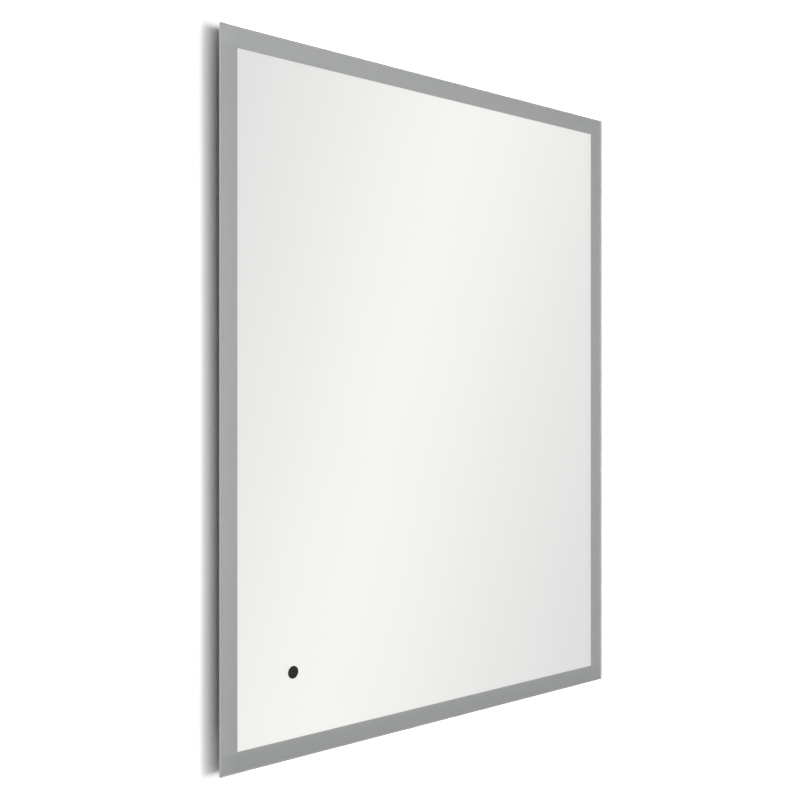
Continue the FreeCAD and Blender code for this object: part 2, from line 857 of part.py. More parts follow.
def make_driver_transformer():
    """A core with two windows, and the coil round its middle limb."""
    half = transformer_size / 2
    face = board_face()
    core = block((-half, half), (face - transformer_height, face), (driver_z - half, driver_z + half))
    limb = transformer_limb_width / 2
    coil_pair = (driver_z - transformer_coil_width / 2, driver_z + transformer_coil_width / 2)
    coil = block((-limb, limb), (face - transformer_height, face), coil_pair)
    for side in (-1, 1):
        window = block((side * limb, side * (limb + transformer_window_width)),
                       (face - transformer_height, face), coil_pair)
        core = core.cut(window)
    return fused([core, coil])


def make_driver_capacitors():
    """Round capacitors that lie in a row on the board."""
    first = transformer_size
    cans = []
    for index in range(capacitor_count):
        z = driver_z + (index - (capacitor_count - 1) / 2) * (capacitor_diameter + capacitor_gap)
        cans.append(rod_along_x(board_face() - capacitor_diameter / 2, z,
                                (first, first + capacitor_length), capacitor_diameter))
    return group(cans)


def make_driver_screws():
    grip = cover_thickness + driver_ear_height
    return group([pan_screw(x, z, cover_back, grip) for x, z in driver_screw_places()])


# Wiring tray and what it holds

def tray_floor():
    """The y of the wiring tray's floor."""
    return frame_back - tray_depth


def terminal_left():
    """The x at which the terminal block starts."""
    return tray_centre_x - tray_length / 2 + terminal_from_left


def make_wiring_tray():
    """A box open towards the wall, with a rim against the inside of the back cover."""
    outer_x, outer_z = tray_pairs(tray_wall)
    rim_x, rim_z = tray_pairs(tray_rim)
    inner_x, inner_z = tray_pairs(0)
    shell = block(outer_x, (tray_floor() - tray_wall, frame_back), outer_z)
    rim = block(rim_x, (frame_back - tray_wall, frame_back), rim_z)
    tray = fused([shell, rim]).cut(block(inner_x, (tray_floor(), frame_back), inner_z))
    holes = [screw_hole(x, z, (frame_back - tray_wall, frame_back)) for x, z in lid_screw_places()]
    holes += [screw_hole(x, z, (tray_floor() - tray_wall, tray_floor())) for x, z in saddle_screw_places()]
    passage = rod_along_x(lead_y, driver_z, (outer_x[0], inner_x[0]),
                          supply_lead_diameter + 2 * lead_to_clip_gap)
    return tray.cut(group(holes + [passage]))


def grommet_x():
    """The x of the supply cable's way in."""
    return tray_centre_x + tray_length / 2 - grommet_from_right


def make_access_lid():
    """A plate over the opening in the back cover, with a hole for the grommet."""
    depth = (cover_back, cover_back + lid_thickness)
    rim_x, rim_z = tray_pairs(lid_rim)
    holes = [screw_hole(x, z, depth) for x, z in lid_screw_places()]
    holes.append(rod_along_y(grommet_x(), driver_z, depth, grommet_hole))
    return block(rim_x, depth, rim_z).cut(group(holes))


def make_access_lid_screws():
    seat = cover_back + lid_thickness
    return group([pan_screw(x, z, seat, screw_grip) for x, z in lid_screw_places()])


def make_cable_grommet():
    """A rubber ring with a flange on each side of the lid."""
    inner = cover_back - grommet_flange_thickness
    outer = cover_back + lid_thickness + grommet_flange_thickness
    neck = rod_along_y(grommet_x(), driver_z, (inner, outer), grommet_hole)
    low_flange = rod_along_y(grommet_x(), driver_z, (inner, cover_back), grommet_flange_diameter)
    high_flange = rod_along_y(grommet_x(), driver_z, (cover_back + lid_thickness, outer),
                              grommet_flange_diameter)
    bore = rod_along_y(grommet_x(), driver_z, (inner, outer), grommet_bore)
    return fused([neck, low_flange, high_flange]).cut(bore)


def terminal_pole_places():
    """The z of each pole of the terminal block."""
    return [driver_z + (index - (terminal_poles - 1) / 2) * terminal_pitch for index in range(terminal_poles)]


def terminal_screw_places():
    """The x of the two screws of each pole."""
    middle = terminal_left() + terminal_length / 2
    return [middle - terminal_length / 4, middle + terminal_length / 4]


def make_terminal_block():
    """A plastic block with a round way through each pole and a well over each screw."""
    x_pair = (terminal_left(), terminal_left() + terminal_length)
    half = terminal_poles * terminal_pitch / 2
    floor = tray_floor()
    block_body = block(x_pair, (floor, floor + terminal_height), (driver_z - half, driver_z + half))
    axis = floor + terminal_height / 2
    holes = []
    for z in terminal_pole_places():
        holes.append(rod_along_x(axis, z, x_pair, clamp_tube_diameter))
        for x in terminal_screw_places():
            holes.append(rod_along_y(x, z, (axis, floor + terminal_height), terminal_screw_diameter))
    return block_body.cut(group(holes))


def make_terminal_clamps():
    """A brass tube in each pole, bored for the wires and tapped for its screws."""
    x_pair = (terminal_left() + clamp_tube_inset, terminal_left() + terminal_length - clamp_tube_inset)
    axis = tray_floor() + terminal_height / 2
    tubes = []
    for z in terminal_pole_places():
        tube = rod_along_x(axis, z, x_pair, clamp_tube_diameter)
        tube = tube.cut(rod_along_x(axis, z, x_pair, clamp_tube_bore))
        for x in terminal_screw_places():
            tube = tube.cut(rod_along_y(x, z, (axis, axis + clamp_tube_diameter), terminal_screw_diameter))
        tubes.append(tube)
    return group(tubes)


def make_terminal_screws():
    """Slotted screws, down in their wells."""
    top = tray_floor() + terminal_height - terminal_screw_below_top
    screws = []
    for z in terminal_pole_places():
        for x in terminal_screw_places():
            screw = rod_along_y(x, z, (top - terminal_screw_length, top), terminal_screw_diameter)
            blade = terminal_slot_width / 2
            half = terminal_screw_diameter / 2
            slot = block((x - half, x + half), (top - terminal_slot_depth, top), (z - blade, z + blade))
            screws.append(screw.cut(slot))
    return group(screws)


def saddle_x():
    """The x pair of the cord clamp, beside the terminal block."""
    start = terminal_left() + terminal_length + saddle_gap
    return start, start + saddle_length


def saddle_screw_places():
    """The cord clamp's two screws, one in each foot."""
    middle = sum(saddle_x()) / 2
    away = saddle_bore / 2 + saddle_wall + saddle_screw_gap + saddle_screw_head / 2
    return [(middle, driver_z - away), (middle, driver_z + away)]


def make_cord_clamp():
    """A saddle that holds the supply cable down on the tray's floor."""
    floor = tray_floor()
    arch_half = saddle_bore / 2 + saddle_wall
    half = arch_half + 2 * saddle_screw_gap + saddle_screw_head
    foot = block(saddle_x(), (floor, floor + saddle_foot_thickness), (driver_z - half, driver_z + half))
    arch = block(saddle_x(), (floor, floor + saddle_bore + saddle_wall),
                 (driver_z - arch_half, driver_z + arch_half))
    axis = floor + saddle_bore / 2
    round_way = rod_along_x(axis, driver_z, saddle_x(), saddle_bore)
    open_way = block(saddle_x(), (floor, axis), (driver_z - saddle_bore / 2, driver_z + saddle_bore / 2))
    saddle = fused([foot, arch]).cut(fused([round_way, open_way]))
    holes = [screw_hole(x, z, (floor, floor + saddle_foot_thickness)) for x, z in saddle_screw_places()]
    return saddle.cut(group(holes))


def make_cord_clamp_screws():
    seat = tray_floor() + saddle_foot_thickness
    grip = saddle_foot_thickness + tray_wall
    return group([pan_screw(x, z, seat, grip, saddle_screw_head) for x, z in saddle_screw_places()])


# Infrared sensor

def make_sensor_lens():
    """A dark lens. Its boss fills the clear window in the silver, up to the glass."""
    boss = rod_along_y(sensor_x, sensor_z, (glass_back, film_back), window_diameter - 2 * lens_clearance)
    flange = rod_along_y(sensor_x, sensor_z, (film_back, film_back + lens_flange_thickness),
                         lens_flange_diameter)
    return fused([boss, flange])


def sensor_pairs(margin):
    """The x and z pairs of a square round the sensor's axis."""
    half = sensor_size / 2 - margin
    return (sensor_x - half, sensor_x + half), (sensor_z - half, sensor_z + half)


def make_sensor_gasket():
    """A foam ring that seals and bonds the sensor to the film."""
    depth = (film_back, film_back + tape_thickness)
    ring_shape = rod_along_y(sensor_x, sensor_z, depth, gasket_outer_diameter)
    return ring_shape.cut(rod_along_y(sensor_x, sensor_z, depth, lens_flange_diameter + 2 * lens_clearance))


def make_sensor_housing():
    """A square box whose front is bored for the lens, with a ledge under it."""
    front = film_back + tape_thickness
    back = front + sensor_depth
    outer_x, outer_z = sensor_pairs(0)
    inner_x, inner_z = sensor_pairs(sensor_wall)
    ledge = film_back + lens_flange_thickness
    room = block(inner_x, (ledge + sensor_ledge, back - sensor_wall), inner_z)
    seat = rod_along_y(sensor_x, sensor_z, (front, ledge), lens_flange_diameter + 2 * lens_clearance)
    eye = rod_along_y(sensor_x, sensor_z, (ledge, ledge + sensor_ledge), window_diameter)
    passage = rod_along_x(sensor_lead_y(), sensor_z, (inner_x[1], outer_x[1]),
                          sensor_lead_diameter + 2 * lead_to_clip_gap)
    return block(outer_x, (front, back), outer_z).cut(group([room, seat, eye, passage]))


def sensor_lead_y():
    """The depth at which the sensor's lead leaves its housing."""
    return film_back + tape_thickness + sensor_depth - sensor_wall - sensor_lead_diameter


def make_sensor_board():
    inner_x, inner_z = sensor_pairs(sensor_wall)
    front = film_back + lens_flange_thickness + sensor_ledge
    return block(inner_x, (front, front + sensor_board_thickness), inner_z)


# Leads

def make_supply_lead():
    """From the terminal block, through the tray's wall, to the driver's right end."""
    half = driver_length / 2
    end = terminal_left()
    points = [
        FreeCAD.Vector(half, lead_y, driver_z),
        FreeCAD.Vector(end, lead_y, driver_z),
    ]
    return lead(points, supply_lead_diameter)


def eased_route(start, end):
    """A route between two level ends: straight out of each, and one slanted run between them."""
    level_run = (start.x - end.x) / 4
    return [
        start,
        FreeCAD.Vector(start.x - level_run, start.y, start.z),
        FreeCAD.Vector(end.x + level_run, end.y, end.z),
        end,
    ]


def led_lead_points():
    """From the driver's left end to the back of the left LED strip, through the frame's web."""
    start = FreeCAD.Vector(-driver_length / 2, lead_y, driver_z + lead_exit)
    end = FreeCAD.Vector(inset_x(-1, frame_inset + channel_depth), lead_y, led_lead_z())
    return eased_route(start, end)


def sensor_lead_points():
    """From the driver's left end to the sensor's housing."""
    start = FreeCAD.Vector(-driver_length / 2, sensor_lead_y(), driver_z - lead_exit)
    end = FreeCAD.Vector(sensor_x + sensor_size / 2, sensor_lead_y(), sensor_z)
    return eased_route(start, end)


def make_lead_clips():
    """Small blocks on the back cover, bored for the leads where they run level."""
    beside_driver = -driver_length / 2 - clip_block_gap - clip_block_length / 2
    beside_sensor = sensor_x + sensor_size / 2 + clip_block_gap + clip_block_length / 2
    beside_frame = inset_x(-1, frame_inset + member_width) + clip_block_length / 2
    places = (
        (beside_driver, led_lead_points()[0], led_lead_diameter),
        (beside_frame, led_lead_points()[-1], led_lead_diameter),
        (beside_driver, sensor_lead_points()[0], sensor_lead_diameter),
        (beside_sensor, sensor_lead_points()[-1], sensor_lead_diameter),
    )
    clips = []
    for x, line, diameter in places:
        half = diameter / 2 + clip_block_wall
        x_pair = (x - clip_block_length / 2, x + clip_block_length / 2)
        clip = block(x_pair, (line.y - half, frame_back), (line.z - half, line.z + half))
        clips.append(clip.cut(rod_along_x(line.y, line.z, x_pair, diameter + 2 * lead_to_clip_gap)))
    return group(clips)


def all_nodes():
    """Every sub-part by its name."""
    nodes = {
        "glass_pane": make_glass_pane(),
        "satin_border": make_satin_border(),
        "silver_layer": make_silver_layer(),
        "safety_film": make_safety_film(),
        "glazing_tape": make_glazing_tape(),
        "corner_brackets": make_corner_brackets(),
        "corner_screws": make_corner_screws(),
        "led_packages": make_led_packages(),
        "strip_links": make_strip_links(),
        "back_cover": make_back_cover(),
        "cover_screws": make_cover_screws(),
        "driver_case": make_driver_case(),
        "driver_lid": make_driver_lid(),
        "driver_board": make_driver_board(),
        "driver_transformer": make_driver_transformer(),
        "driver_capacitors": make_driver_capacitors(),
        "driver_screws": make_driver_screws(),
        "wiring_tray": make_wiring_tray(),
        "access_lid": make_access_lid(),
        "access_lid_screws": make_access_lid_screws(),
        "cable_grommet": make_cable_grommet(),
        "terminal_block": make_terminal_block(),
        "terminal_clamps": make_terminal_clamps(),
        "terminal_screws": make_terminal_screws(),
        "cord_clamp": make_cord_clamp(),
        "cord_clamp_screws": make_cord_clamp_screws(),
        "sensor_lens": make_sensor_lens(),
        "sensor_gasket": make_sensor_gasket(),
        "sensor_housing": make_sensor_housing(),
        "sensor_board": make_sensor_board(),
        "supply_lead": make_supply_lead(),
        "led_lead": lead(led_lead_points(), led_lead_diameter),
        "sensor_lead": lead(sensor_lead_points(), sensor_lead_diameter),
        "lead_clips": make_lead_clips(),
        "hanger_screws": make_hanger_screws(),
        "guide_studs": make_guide_studs(),
        "wall_bumpers": make_wall_bumpers(),
        "wall_rail": make_wall_rail(),
    }
    for side in ("top", "bottom", "left", "right"):
        nodes["frame_" + side] = make_frame_member(side)
        nodes["led_strip_" + side] = make_led_strip(side)
        nodes["diffuser_" + side] = make_diffuser(side)
    for word, side in (("left", -1), ("right", 1)):
        nodes["hanger_hook_" + word] = make_hanger_hook(side)
        nodes["hanger_bracket_" + word] = make_hanger_bracket(side)
        nodes["adjuster_screw_" + word] = make_adjuster_screw(side)
        nodes["adjuster_clip_" + word] = make_adjuster_clip(side)
    return nodes


os.makedirs("parts", exist_ok=True)
for name, shape in all_nodes().items():
    if not shape.isValid():
        print("not valid:", name)
    print(name, len(shape.Solids), round(shape.Volume, 1))
    shape.exportStep("parts/" + name + ".step")
print("adjusting screw axis x", hanger_x(1, adjuster_from_hanger_edge), "y", round(adjuster_y(), 3))
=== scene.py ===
import json
import math

import bmesh
import bpy
from mathutils import Matrix, Vector


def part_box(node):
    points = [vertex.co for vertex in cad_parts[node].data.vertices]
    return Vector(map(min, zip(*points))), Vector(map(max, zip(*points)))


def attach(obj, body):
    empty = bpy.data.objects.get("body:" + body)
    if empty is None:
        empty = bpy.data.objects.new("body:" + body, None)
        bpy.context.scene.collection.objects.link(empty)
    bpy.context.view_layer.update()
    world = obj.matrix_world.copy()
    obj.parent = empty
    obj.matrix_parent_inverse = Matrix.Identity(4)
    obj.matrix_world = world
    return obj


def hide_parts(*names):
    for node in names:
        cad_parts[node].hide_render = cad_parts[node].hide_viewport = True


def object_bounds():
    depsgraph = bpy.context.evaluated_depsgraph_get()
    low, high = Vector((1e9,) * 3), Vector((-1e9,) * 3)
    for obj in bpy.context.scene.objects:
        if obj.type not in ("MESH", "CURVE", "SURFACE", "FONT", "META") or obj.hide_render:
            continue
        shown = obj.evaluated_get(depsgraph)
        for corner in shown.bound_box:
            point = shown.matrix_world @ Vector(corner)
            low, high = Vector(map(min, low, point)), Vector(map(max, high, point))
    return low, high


# Lighted bathroom mirror, in metres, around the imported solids.
# +Z is up, the wall is the plane y = 0, and the mirror faces -Y.

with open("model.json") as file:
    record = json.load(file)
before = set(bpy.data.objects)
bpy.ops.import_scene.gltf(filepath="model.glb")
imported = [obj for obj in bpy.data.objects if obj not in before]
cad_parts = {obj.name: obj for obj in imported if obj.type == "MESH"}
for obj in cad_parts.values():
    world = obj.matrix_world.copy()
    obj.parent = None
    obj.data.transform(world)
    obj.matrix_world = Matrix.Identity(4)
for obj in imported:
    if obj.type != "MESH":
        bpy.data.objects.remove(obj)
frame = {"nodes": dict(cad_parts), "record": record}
cad_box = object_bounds()
scene = bpy.context.scene
nodes = frame["nodes"]
for packed in bpy.data.materials:
    packed.name = "packed_" + packed.name

# Camera
camera_place = Vector((-0.912, -0.991, -0.313))
camera_turn = math.radians(-41.59)
camera_lens = 50.88
camera_sensor = 36.0

# Stage. The wall's paint is darker round the strip where the mirror's shadow falls, a painted shade that
# deepens that shadow, and has its far tone away from it: the reach is sideways from the strip, and the rise
# is up and down from the key lamp.
wall_width = 3.4
wall_top = 0.9
floor_height = -1.4
floor_depth = 2.4
# The strip tone is painted shade: half the far tone, so the cast shadow shows deeper there.
wall_painted_shade_tone = 1.10
far_wall_tone = 2.2
shadow_strip_x = -0.29
shadow_strip_reach = (0.008, 0.04)
shadow_strip_rise = (0.385, 0.43)
floor_tone = 0.9
floor_whiteness = 0.8

# Light
ambient_strength = 0.22
key_place = Vector((-0.594, -1.42, -0.313))
key_size = (0.997, 0.26)
key_power = 15.2
fill_place = Vector((1.3, -1.5, -0.313))
fill_size = (0.8, 0.8)
fill_power = 9.8
back_lamp_places = {"left": Vector((-1.5, 1.8, 0.7)), "right": Vector((1.5, 1.8, 0.7))}
back_lamp_size = (1.2, 1.2)
back_lamp_power = 27.0
room_peak = 1.0
ridge_lean = 0.24
ridge_shift = 0.004

# A ray whose diffuse depth is under these has met no matt surface yet, or one at most
no_bounce = 0.5
one_bounce = 1.5

# How bright the reflected room is, from its brightest band outwards: place, red, green, blue
room_tones = [
    (0.0, 0.98, 0.98, 0.955),
    (0.035, 0.97, 0.97, 0.945),
    (0.09, 0.915, 0.915, 0.89),
    (0.16, 0.84, 0.84, 0.835),
    (0.21, 0.79, 0.79, 0.79),
    (0.31, 0.72, 0.72, 0.72),
    (0.50, 0.92, 0.92, 0.90),
    (0.74, 0.68, 0.68, 0.68),
    (0.90, 0.70, 0.70, 0.70),
    (1.0, 0.86, 0.86, 0.84),
]

merge_distance = 1e-7
turned_segments = 40

# Glass and its skins. Tones are reflectances, or places between the dark and the light etch.
glass_edge_chamfer = 0.0008
glass_back_depth = 0.00004
# The ground edge tones differ by side as painted light and shade: the left chamfer darker to damp its
# highlight, the right side lighter.
ground_painted_light_tones = {"left_chamfer": 0.48, "left": 0.71, "right": 0.74, "level": 0.475}
skin_clearance = 0.00002
etch_dark = (0.301, 0.311, 0.307)
etch_light = (0.424, 0.435, 0.431)
# The etch tones below are painted light and shade: lighter to the right and up the left, against the key
# lamp's falloff, a painted lit left edge and top, and painted shade along the bottom.
etch_painted_light_left_tones = (0.24, 0.53)
etch_painted_light_right_tones = (0.60, 0.62)
etch_painted_left_edge_light = 0.27
etch_painted_top_light = 0.27
etch_painted_bottom_shade = 0.22
etch_soft_edge = 0.004
lens_hole_radius = 0.0067
lens_hole_segments = 72

# Screws. Shares are of the head's radius, but for its side and the cross cutter, of its height, and
# its lower edge, of its side.
screw_head_segments = 28
screw_head_radius = 0.0035
screw_shank_radius = 0.00175
screw_recess_depth = 0.0011
pan_head_shares = {"seat": 0.96, "edge": 0.15, "side": 0.5}
cross_shares = {"mouth": (0.60, 0.15), "floor": (0.30, 0.09), "cutter": 1.05}
screw_thread = {"Pitch": 0.00127, "Thread depth": 0.00035, "Sides": 14}
thread_rows_per_turn = 8
cover_top_screw_x = 0.080
cover_bottom_screw_x = 0.120
cover_side_screw_step = 0.210
hanger_screw_step = 0.014
adjuster_shank_radius = 0.002
adjuster_head_height = 0.0026
adjuster_edge_share = 0.08
adjuster_slot_width = 0.001
adjuster_slot_cutter_share = 1.1
adjuster_thread = {"Pitch": 0.0007, "Thread depth": 0.00038, "Sides": 16}

# Bumpers and grommet. Shares are of the radius, but for where the ribs start, of the height.
bumper_ribs = 3
bumper_shares = {"rib": 0.04, "first rib": 0.22, "rib step": 0.2, "round": 0.14, "dish": 0.66,
                 "dish rim": 0.12, "rim rise": 0.04, "dish depth": 0.10}
grommet_neck_share = 11 / 15
grommet_bore_share = 8.4 / 15
grommet_segments = 48

# Light packages and vents. Shares are of the height, but for the well, of half the depth.
led_pitch = 0.015
led_size = Vector((0.0035, 0.0028, 0.0008))
led_shares = {"eased edge": 0.12, "well": 0.8, "well floor": 0.85, "well depth": 0.18}
vent_size = Vector((0.003, 0.018))
vent_pitch = 0.0075
vents_in_row = 17
vent_gap_to_driver = 0.018


# Small tools for meshes

def new_piece(name, mesh):
    """A scene object for a finished mesh."""
    piece = bpy.data.objects.new(name, mesh)
    scene.collection.objects.link(piece)
    return piece


def mesh_from(name, build):
    """A mesh that a function fills through bmesh, with its faces turned outwards."""
    work = bmesh.new()
    build(work)
    bmesh.ops.remove_doubles(work, verts=work.verts, dist=merge_distance)
    bmesh.ops.recalc_face_normals(work, faces=work.faces)
    mesh = bpy.data.meshes.new(name)
    work.to_mesh(mesh)
    work.free()
    return mesh


def rectangle(low_x, high_x, low_z, high_z):
    """The corners of an upright rectangle, as x and z places."""
    return [(low_x, low_z), (high_x, low_z), (high_x, high_z), (low_x, high_z)]


def circle(x, z, radius, count):
    """Places round a circle."""
    turns = [2 * math.pi * index / count for index in range(count)]
    return [(x + radius * math.cos(turn), z + radius * math.sin(turn)) for turn in turns]


def cut_plate(work, outline, hole, y_front, y_back):
    """A flat plate parallel to the wall, with one hole through it. Both loops run the same way round,
    and each corner of the hole is joined to the corner of the outline that it faces."""
    middle_x, middle_z = (sum(values) / len(hole) for values in zip(*hole))
    inner, outer = ([math.atan2(z - middle_z, x - middle_x) for x, z in loop] for loop in (hole, outline))
    count = len(outline)
    facing = [max(range(count), key=lambda corner: math.cos(outer[corner] - way)) for way in inner]
    faces, corner = [], facing[-1]
    for index, faced in enumerate(facing):
        while corner != faced:
            faces.append((count + index, corner, (corner + 1) % count))
            corner = (corner + 1) % count
        faces.append((count + index, count + (index + 1) % len(hole), corner))
    front, back = ([work.verts.new((x, y, z)) for x, z in outline + hole] for y in (y_front, y_back))
    for row in (front, back):
        for face in faces:
            work.faces.new([row[index] for index in face])
    for start, length in ((0, count), (count, len(hole))):
        for index in range(length):
            near, far = start + index, start + (index + 1) % length
            work.faces.new((front[near], front[far], back[far], back[near]))


def turned(work, profile, segments=turned_segments):
    """A shape turned about the Y axis. The profile is a closed or pole-to-pole run of (radius, y)."""
    rings = []
    for radius, y in profile:
        if radius < merge_distance:
            rings.append([work.verts.new((0, y, 0))] * segments)
            continue
        rings.append([work.verts.new((x, y, z)) for x, z in circle(0, 0, radius, segments)])
    pairs = list(zip(rings, rings[1:]))
    if profile[0][0] > merge_distance:
        pairs.append((rings[-1], rings[0]))
    for first, second in pairs:
        for index in range(segments):
            after = (index + 1) % segments
            corners = []
            for vert in (first[index], first[after], second[after], second[index]):
                if vert not in corners:
                    corners.append(vert)
            if len(corners) > 2:
                work.faces.new(corners)


def arc(centre_radius, centre_y, radius, start, end, count):
    """Profile points along an arc, its angles in degrees from the outward direction."""
    points = []
    for index in range(count + 1):
        angle = math.radians(start + (end - start) * index / count)
        points.append((centre_radius + radius * math.cos(angle), centre_y + radius * math.sin(angle)))
    return points


def smooth_by_angle(mesh, degrees=35):
    """Smooth shading, with edges sharper than the given angle kept crisp."""
    mesh.shade_smooth()
    mesh.set_sharp_from_angle(angle=math.radians(degrees))


def settled(piece):
    """The plain mesh that a helper piece's modifiers make. The helper itself is removed."""
    bpy.context.view_layer.update()
    evaluated = piece.evaluated_get(bpy.context.evaluated_depsgraph_get())
    mesh = bpy.data.meshes.new_from_object(evaluated)
    piece.modifiers.clear()
    bpy.data.objects.remove(piece)
    return mesh


def cut_away(name, mesh, cutter_mesh):
    """A mesh with another one cut out of it."""
    piece = new_piece(name, mesh)
    cutter = new_piece(name + "_cutter", cutter_mesh)
    cut = piece.modifiers.new("cut", "BOOLEAN")
    cut.object = cutter
    cut.solver = "EXACT"
    cut_mesh = settled(piece)
    bpy.data.objects.remove(cutter)
    return cut_mesh


def hide_from(thing, *rays):
    """Keeps a lamp or a sheet of the stage out of what these kinds of ray meet."""
    for ray in rays:
        setattr(thing, "visible_" + ray, False)


# Small tools for node trees

def add(tree, kind, values=None, **settings):
    """One node with its settings, and its sockets' values or links."""
    node = tree.nodes.new(kind)
    for key, value in settings.items():
        setattr(node, key, value)
    for socket, value in (values or {}).items():
        if isinstance(value, bpy.types.NodeSocket):
            tree.links.new(value, node.inputs[socket])
        else:
            node.inputs[socket].default_value = value
    return node


def new_material(name, **sockets):
    """A material whose shader has these plain values on its own sockets."""
    material = bpy.data.materials.new(name)
    material.use_nodes = True
    tree = material.node_tree
    shader = tree.nodes["Principled BSDF"]
    for key, value in sockets.items():
        shader.inputs[key.replace("_", " ")].default_value = value
    return material, tree, shader


def place(tree, stretch=(1, 1, 1)):
    """Object coordinates in metres, stretched along each axis."""
    coords = add(tree, "ShaderNodeTexCoord").outputs["Object"]
    return add(tree, "ShaderNodeMapping", {"Vector": coords, "Scale": stretch}).outputs["Vector"]


def noise(tree, vector, scale, detail=3.0, roughness=0.5):
    """A noise pattern, with its scale in cells per metre."""
    values = {"Vector": vector, "Scale": scale, "Detail": detail, "Roughness": roughness}
    return add(tree, "ShaderNodeTexNoise", values).outputs["Fac"]


def maths(tree, operation, first, second=0.0):
    """One sum on numbers or sockets."""
    return add(tree, "ShaderNodeMath", {0: first, 1: second}, operation=operation).outputs[0]


def axes(tree):
    """The x, y and z of each point."""
    parts = add(tree, "ShaderNodeSeparateXYZ", {"Vector": place(tree)})
    return parts.outputs["X"], parts.outputs["Y"], parts.outputs["Z"]


def mix_shaders(tree, value, first, second):
    """A mix of two shaders, from the first at 0 to the second at 1."""
    return add(tree, "ShaderNodeMixShader", {0: value, 1: first, 2: second}).outputs[0]


def spread(tree, value, low, high, source_low=0.3, source_high=0.7):
    """A value from a pattern, brought into a range."""
    values = {"Value": value, "From Min": source_low, "From Max": source_high,
              "To Min": low, "To Max": high}
    return add(tree, "ShaderNodeMapRange", values).outputs["Result"]


def blend(tree, value, first, second):
    """A colour between two, led by a value."""
    mixer = add(tree, "ShaderNodeMix", data_type="RGBA")
    tree.links.new(value, mixer.inputs["Factor"])
    mixer.inputs["A"].default_value = first + (1.0,)
    mixer.inputs["B"].default_value = second + (1.0,)
    return mixer.outputs["Result"]


def wire(tree, shader, **links):
    """Links patterns to the shader's sockets."""
    for key, value in links.items():
        tree.links.new(value, shader.inputs[key.replace("_", " ")])


def relief(tree, shader, height, distance, edge_radius=0.0):
    """Fine relief in metres. With an edge radius, sharp edges catch the light as worn ones do."""
    bump = add(tree, "ShaderNodeBump", {"Height": height, "Distance": distance, "Strength": 1.0})
    if edge_radius:
        soft = add(tree, "ShaderNodeBevel", {"Radius": edge_radius}, samples=4)
        tree.links.new(soft.outputs["Normal"], bump.inputs["Normal"])
    tree.links.new(bump.outputs["Normal"], shader.inputs["Normal"])


# Geometry Nodes

def new_tree(name, inputs):
    """A tree with named inputs, each a (name, socket kind, value)."""
    tree = bpy.data.node_groups.new(name, "GeometryNodeTree")
    tree.interface.new_socket("Geometry", in_out="OUTPUT", socket_type="NodeSocketGeometry")
    for label, kind, value in [("Geometry", "Geometry", None)] + inputs + [("Finish", "Material", None)]:
        socket = tree.interface.new_socket(label, in_out="INPUT", socket_type="NodeSocket" + kind)
        if value is not None:
            socket.default_value = value
    return tree, add(tree, "NodeGroupInput").outputs


def close_tree(tree, geometry, start):
    """Every tree ends in real geometry with its finish on it."""
    real = add(tree, "GeometryNodeRealizeInstances", {"Geometry": geometry}).outputs[0]
    dressed = add(tree, "GeometryNodeSetMaterial",
                  {"Geometry": real, "Material": start["Finish"]}).outputs[0]
    add(tree, "NodeGroupOutput", {"Geometry": dressed})
    return tree


def placed_copies():
    """Copies of one shape at given points. Each is turned about the wall's normal by its point's own
    turn, and by chance up to the most turn, as a screwdriver leaves its screws."""
    tree, start = new_tree("placed_copies", [("Shape", "Object", None), ("Most turn", "Float", 0.0),
                                             ("Seed", "Int", 7)])
    shape = add(tree, "GeometryNodeObjectInfo", {"Object": start["Shape"]}).outputs["Geometry"]
    own = add(tree, "GeometryNodeInputNamedAttribute", {"Name": "turn"}, data_type="FLOAT")
    most = add(tree, "ShaderNodeCombineXYZ", {"Y": start["Most turn"]}).outputs[0]
    chance = add(tree, "FunctionNodeRandomValue", {"Max": most, "Seed": start["Seed"]},
                 data_type="FLOAT_VECTOR").outputs["Value"]
    base = add(tree, "ShaderNodeCombineXYZ", {"Y": own.outputs["Attribute"]}).outputs[0]
    turn = add(tree, "ShaderNodeVectorMath", {0: base, 1: chance}, operation="ADD").outputs[0]
    copies = add(tree, "GeometryNodeInstanceOnPoints",
                 {"Points": start["Geometry"], "Instance": shape, "Rotation": turn}).outputs[0]
    return close_tree(tree, copies, start)


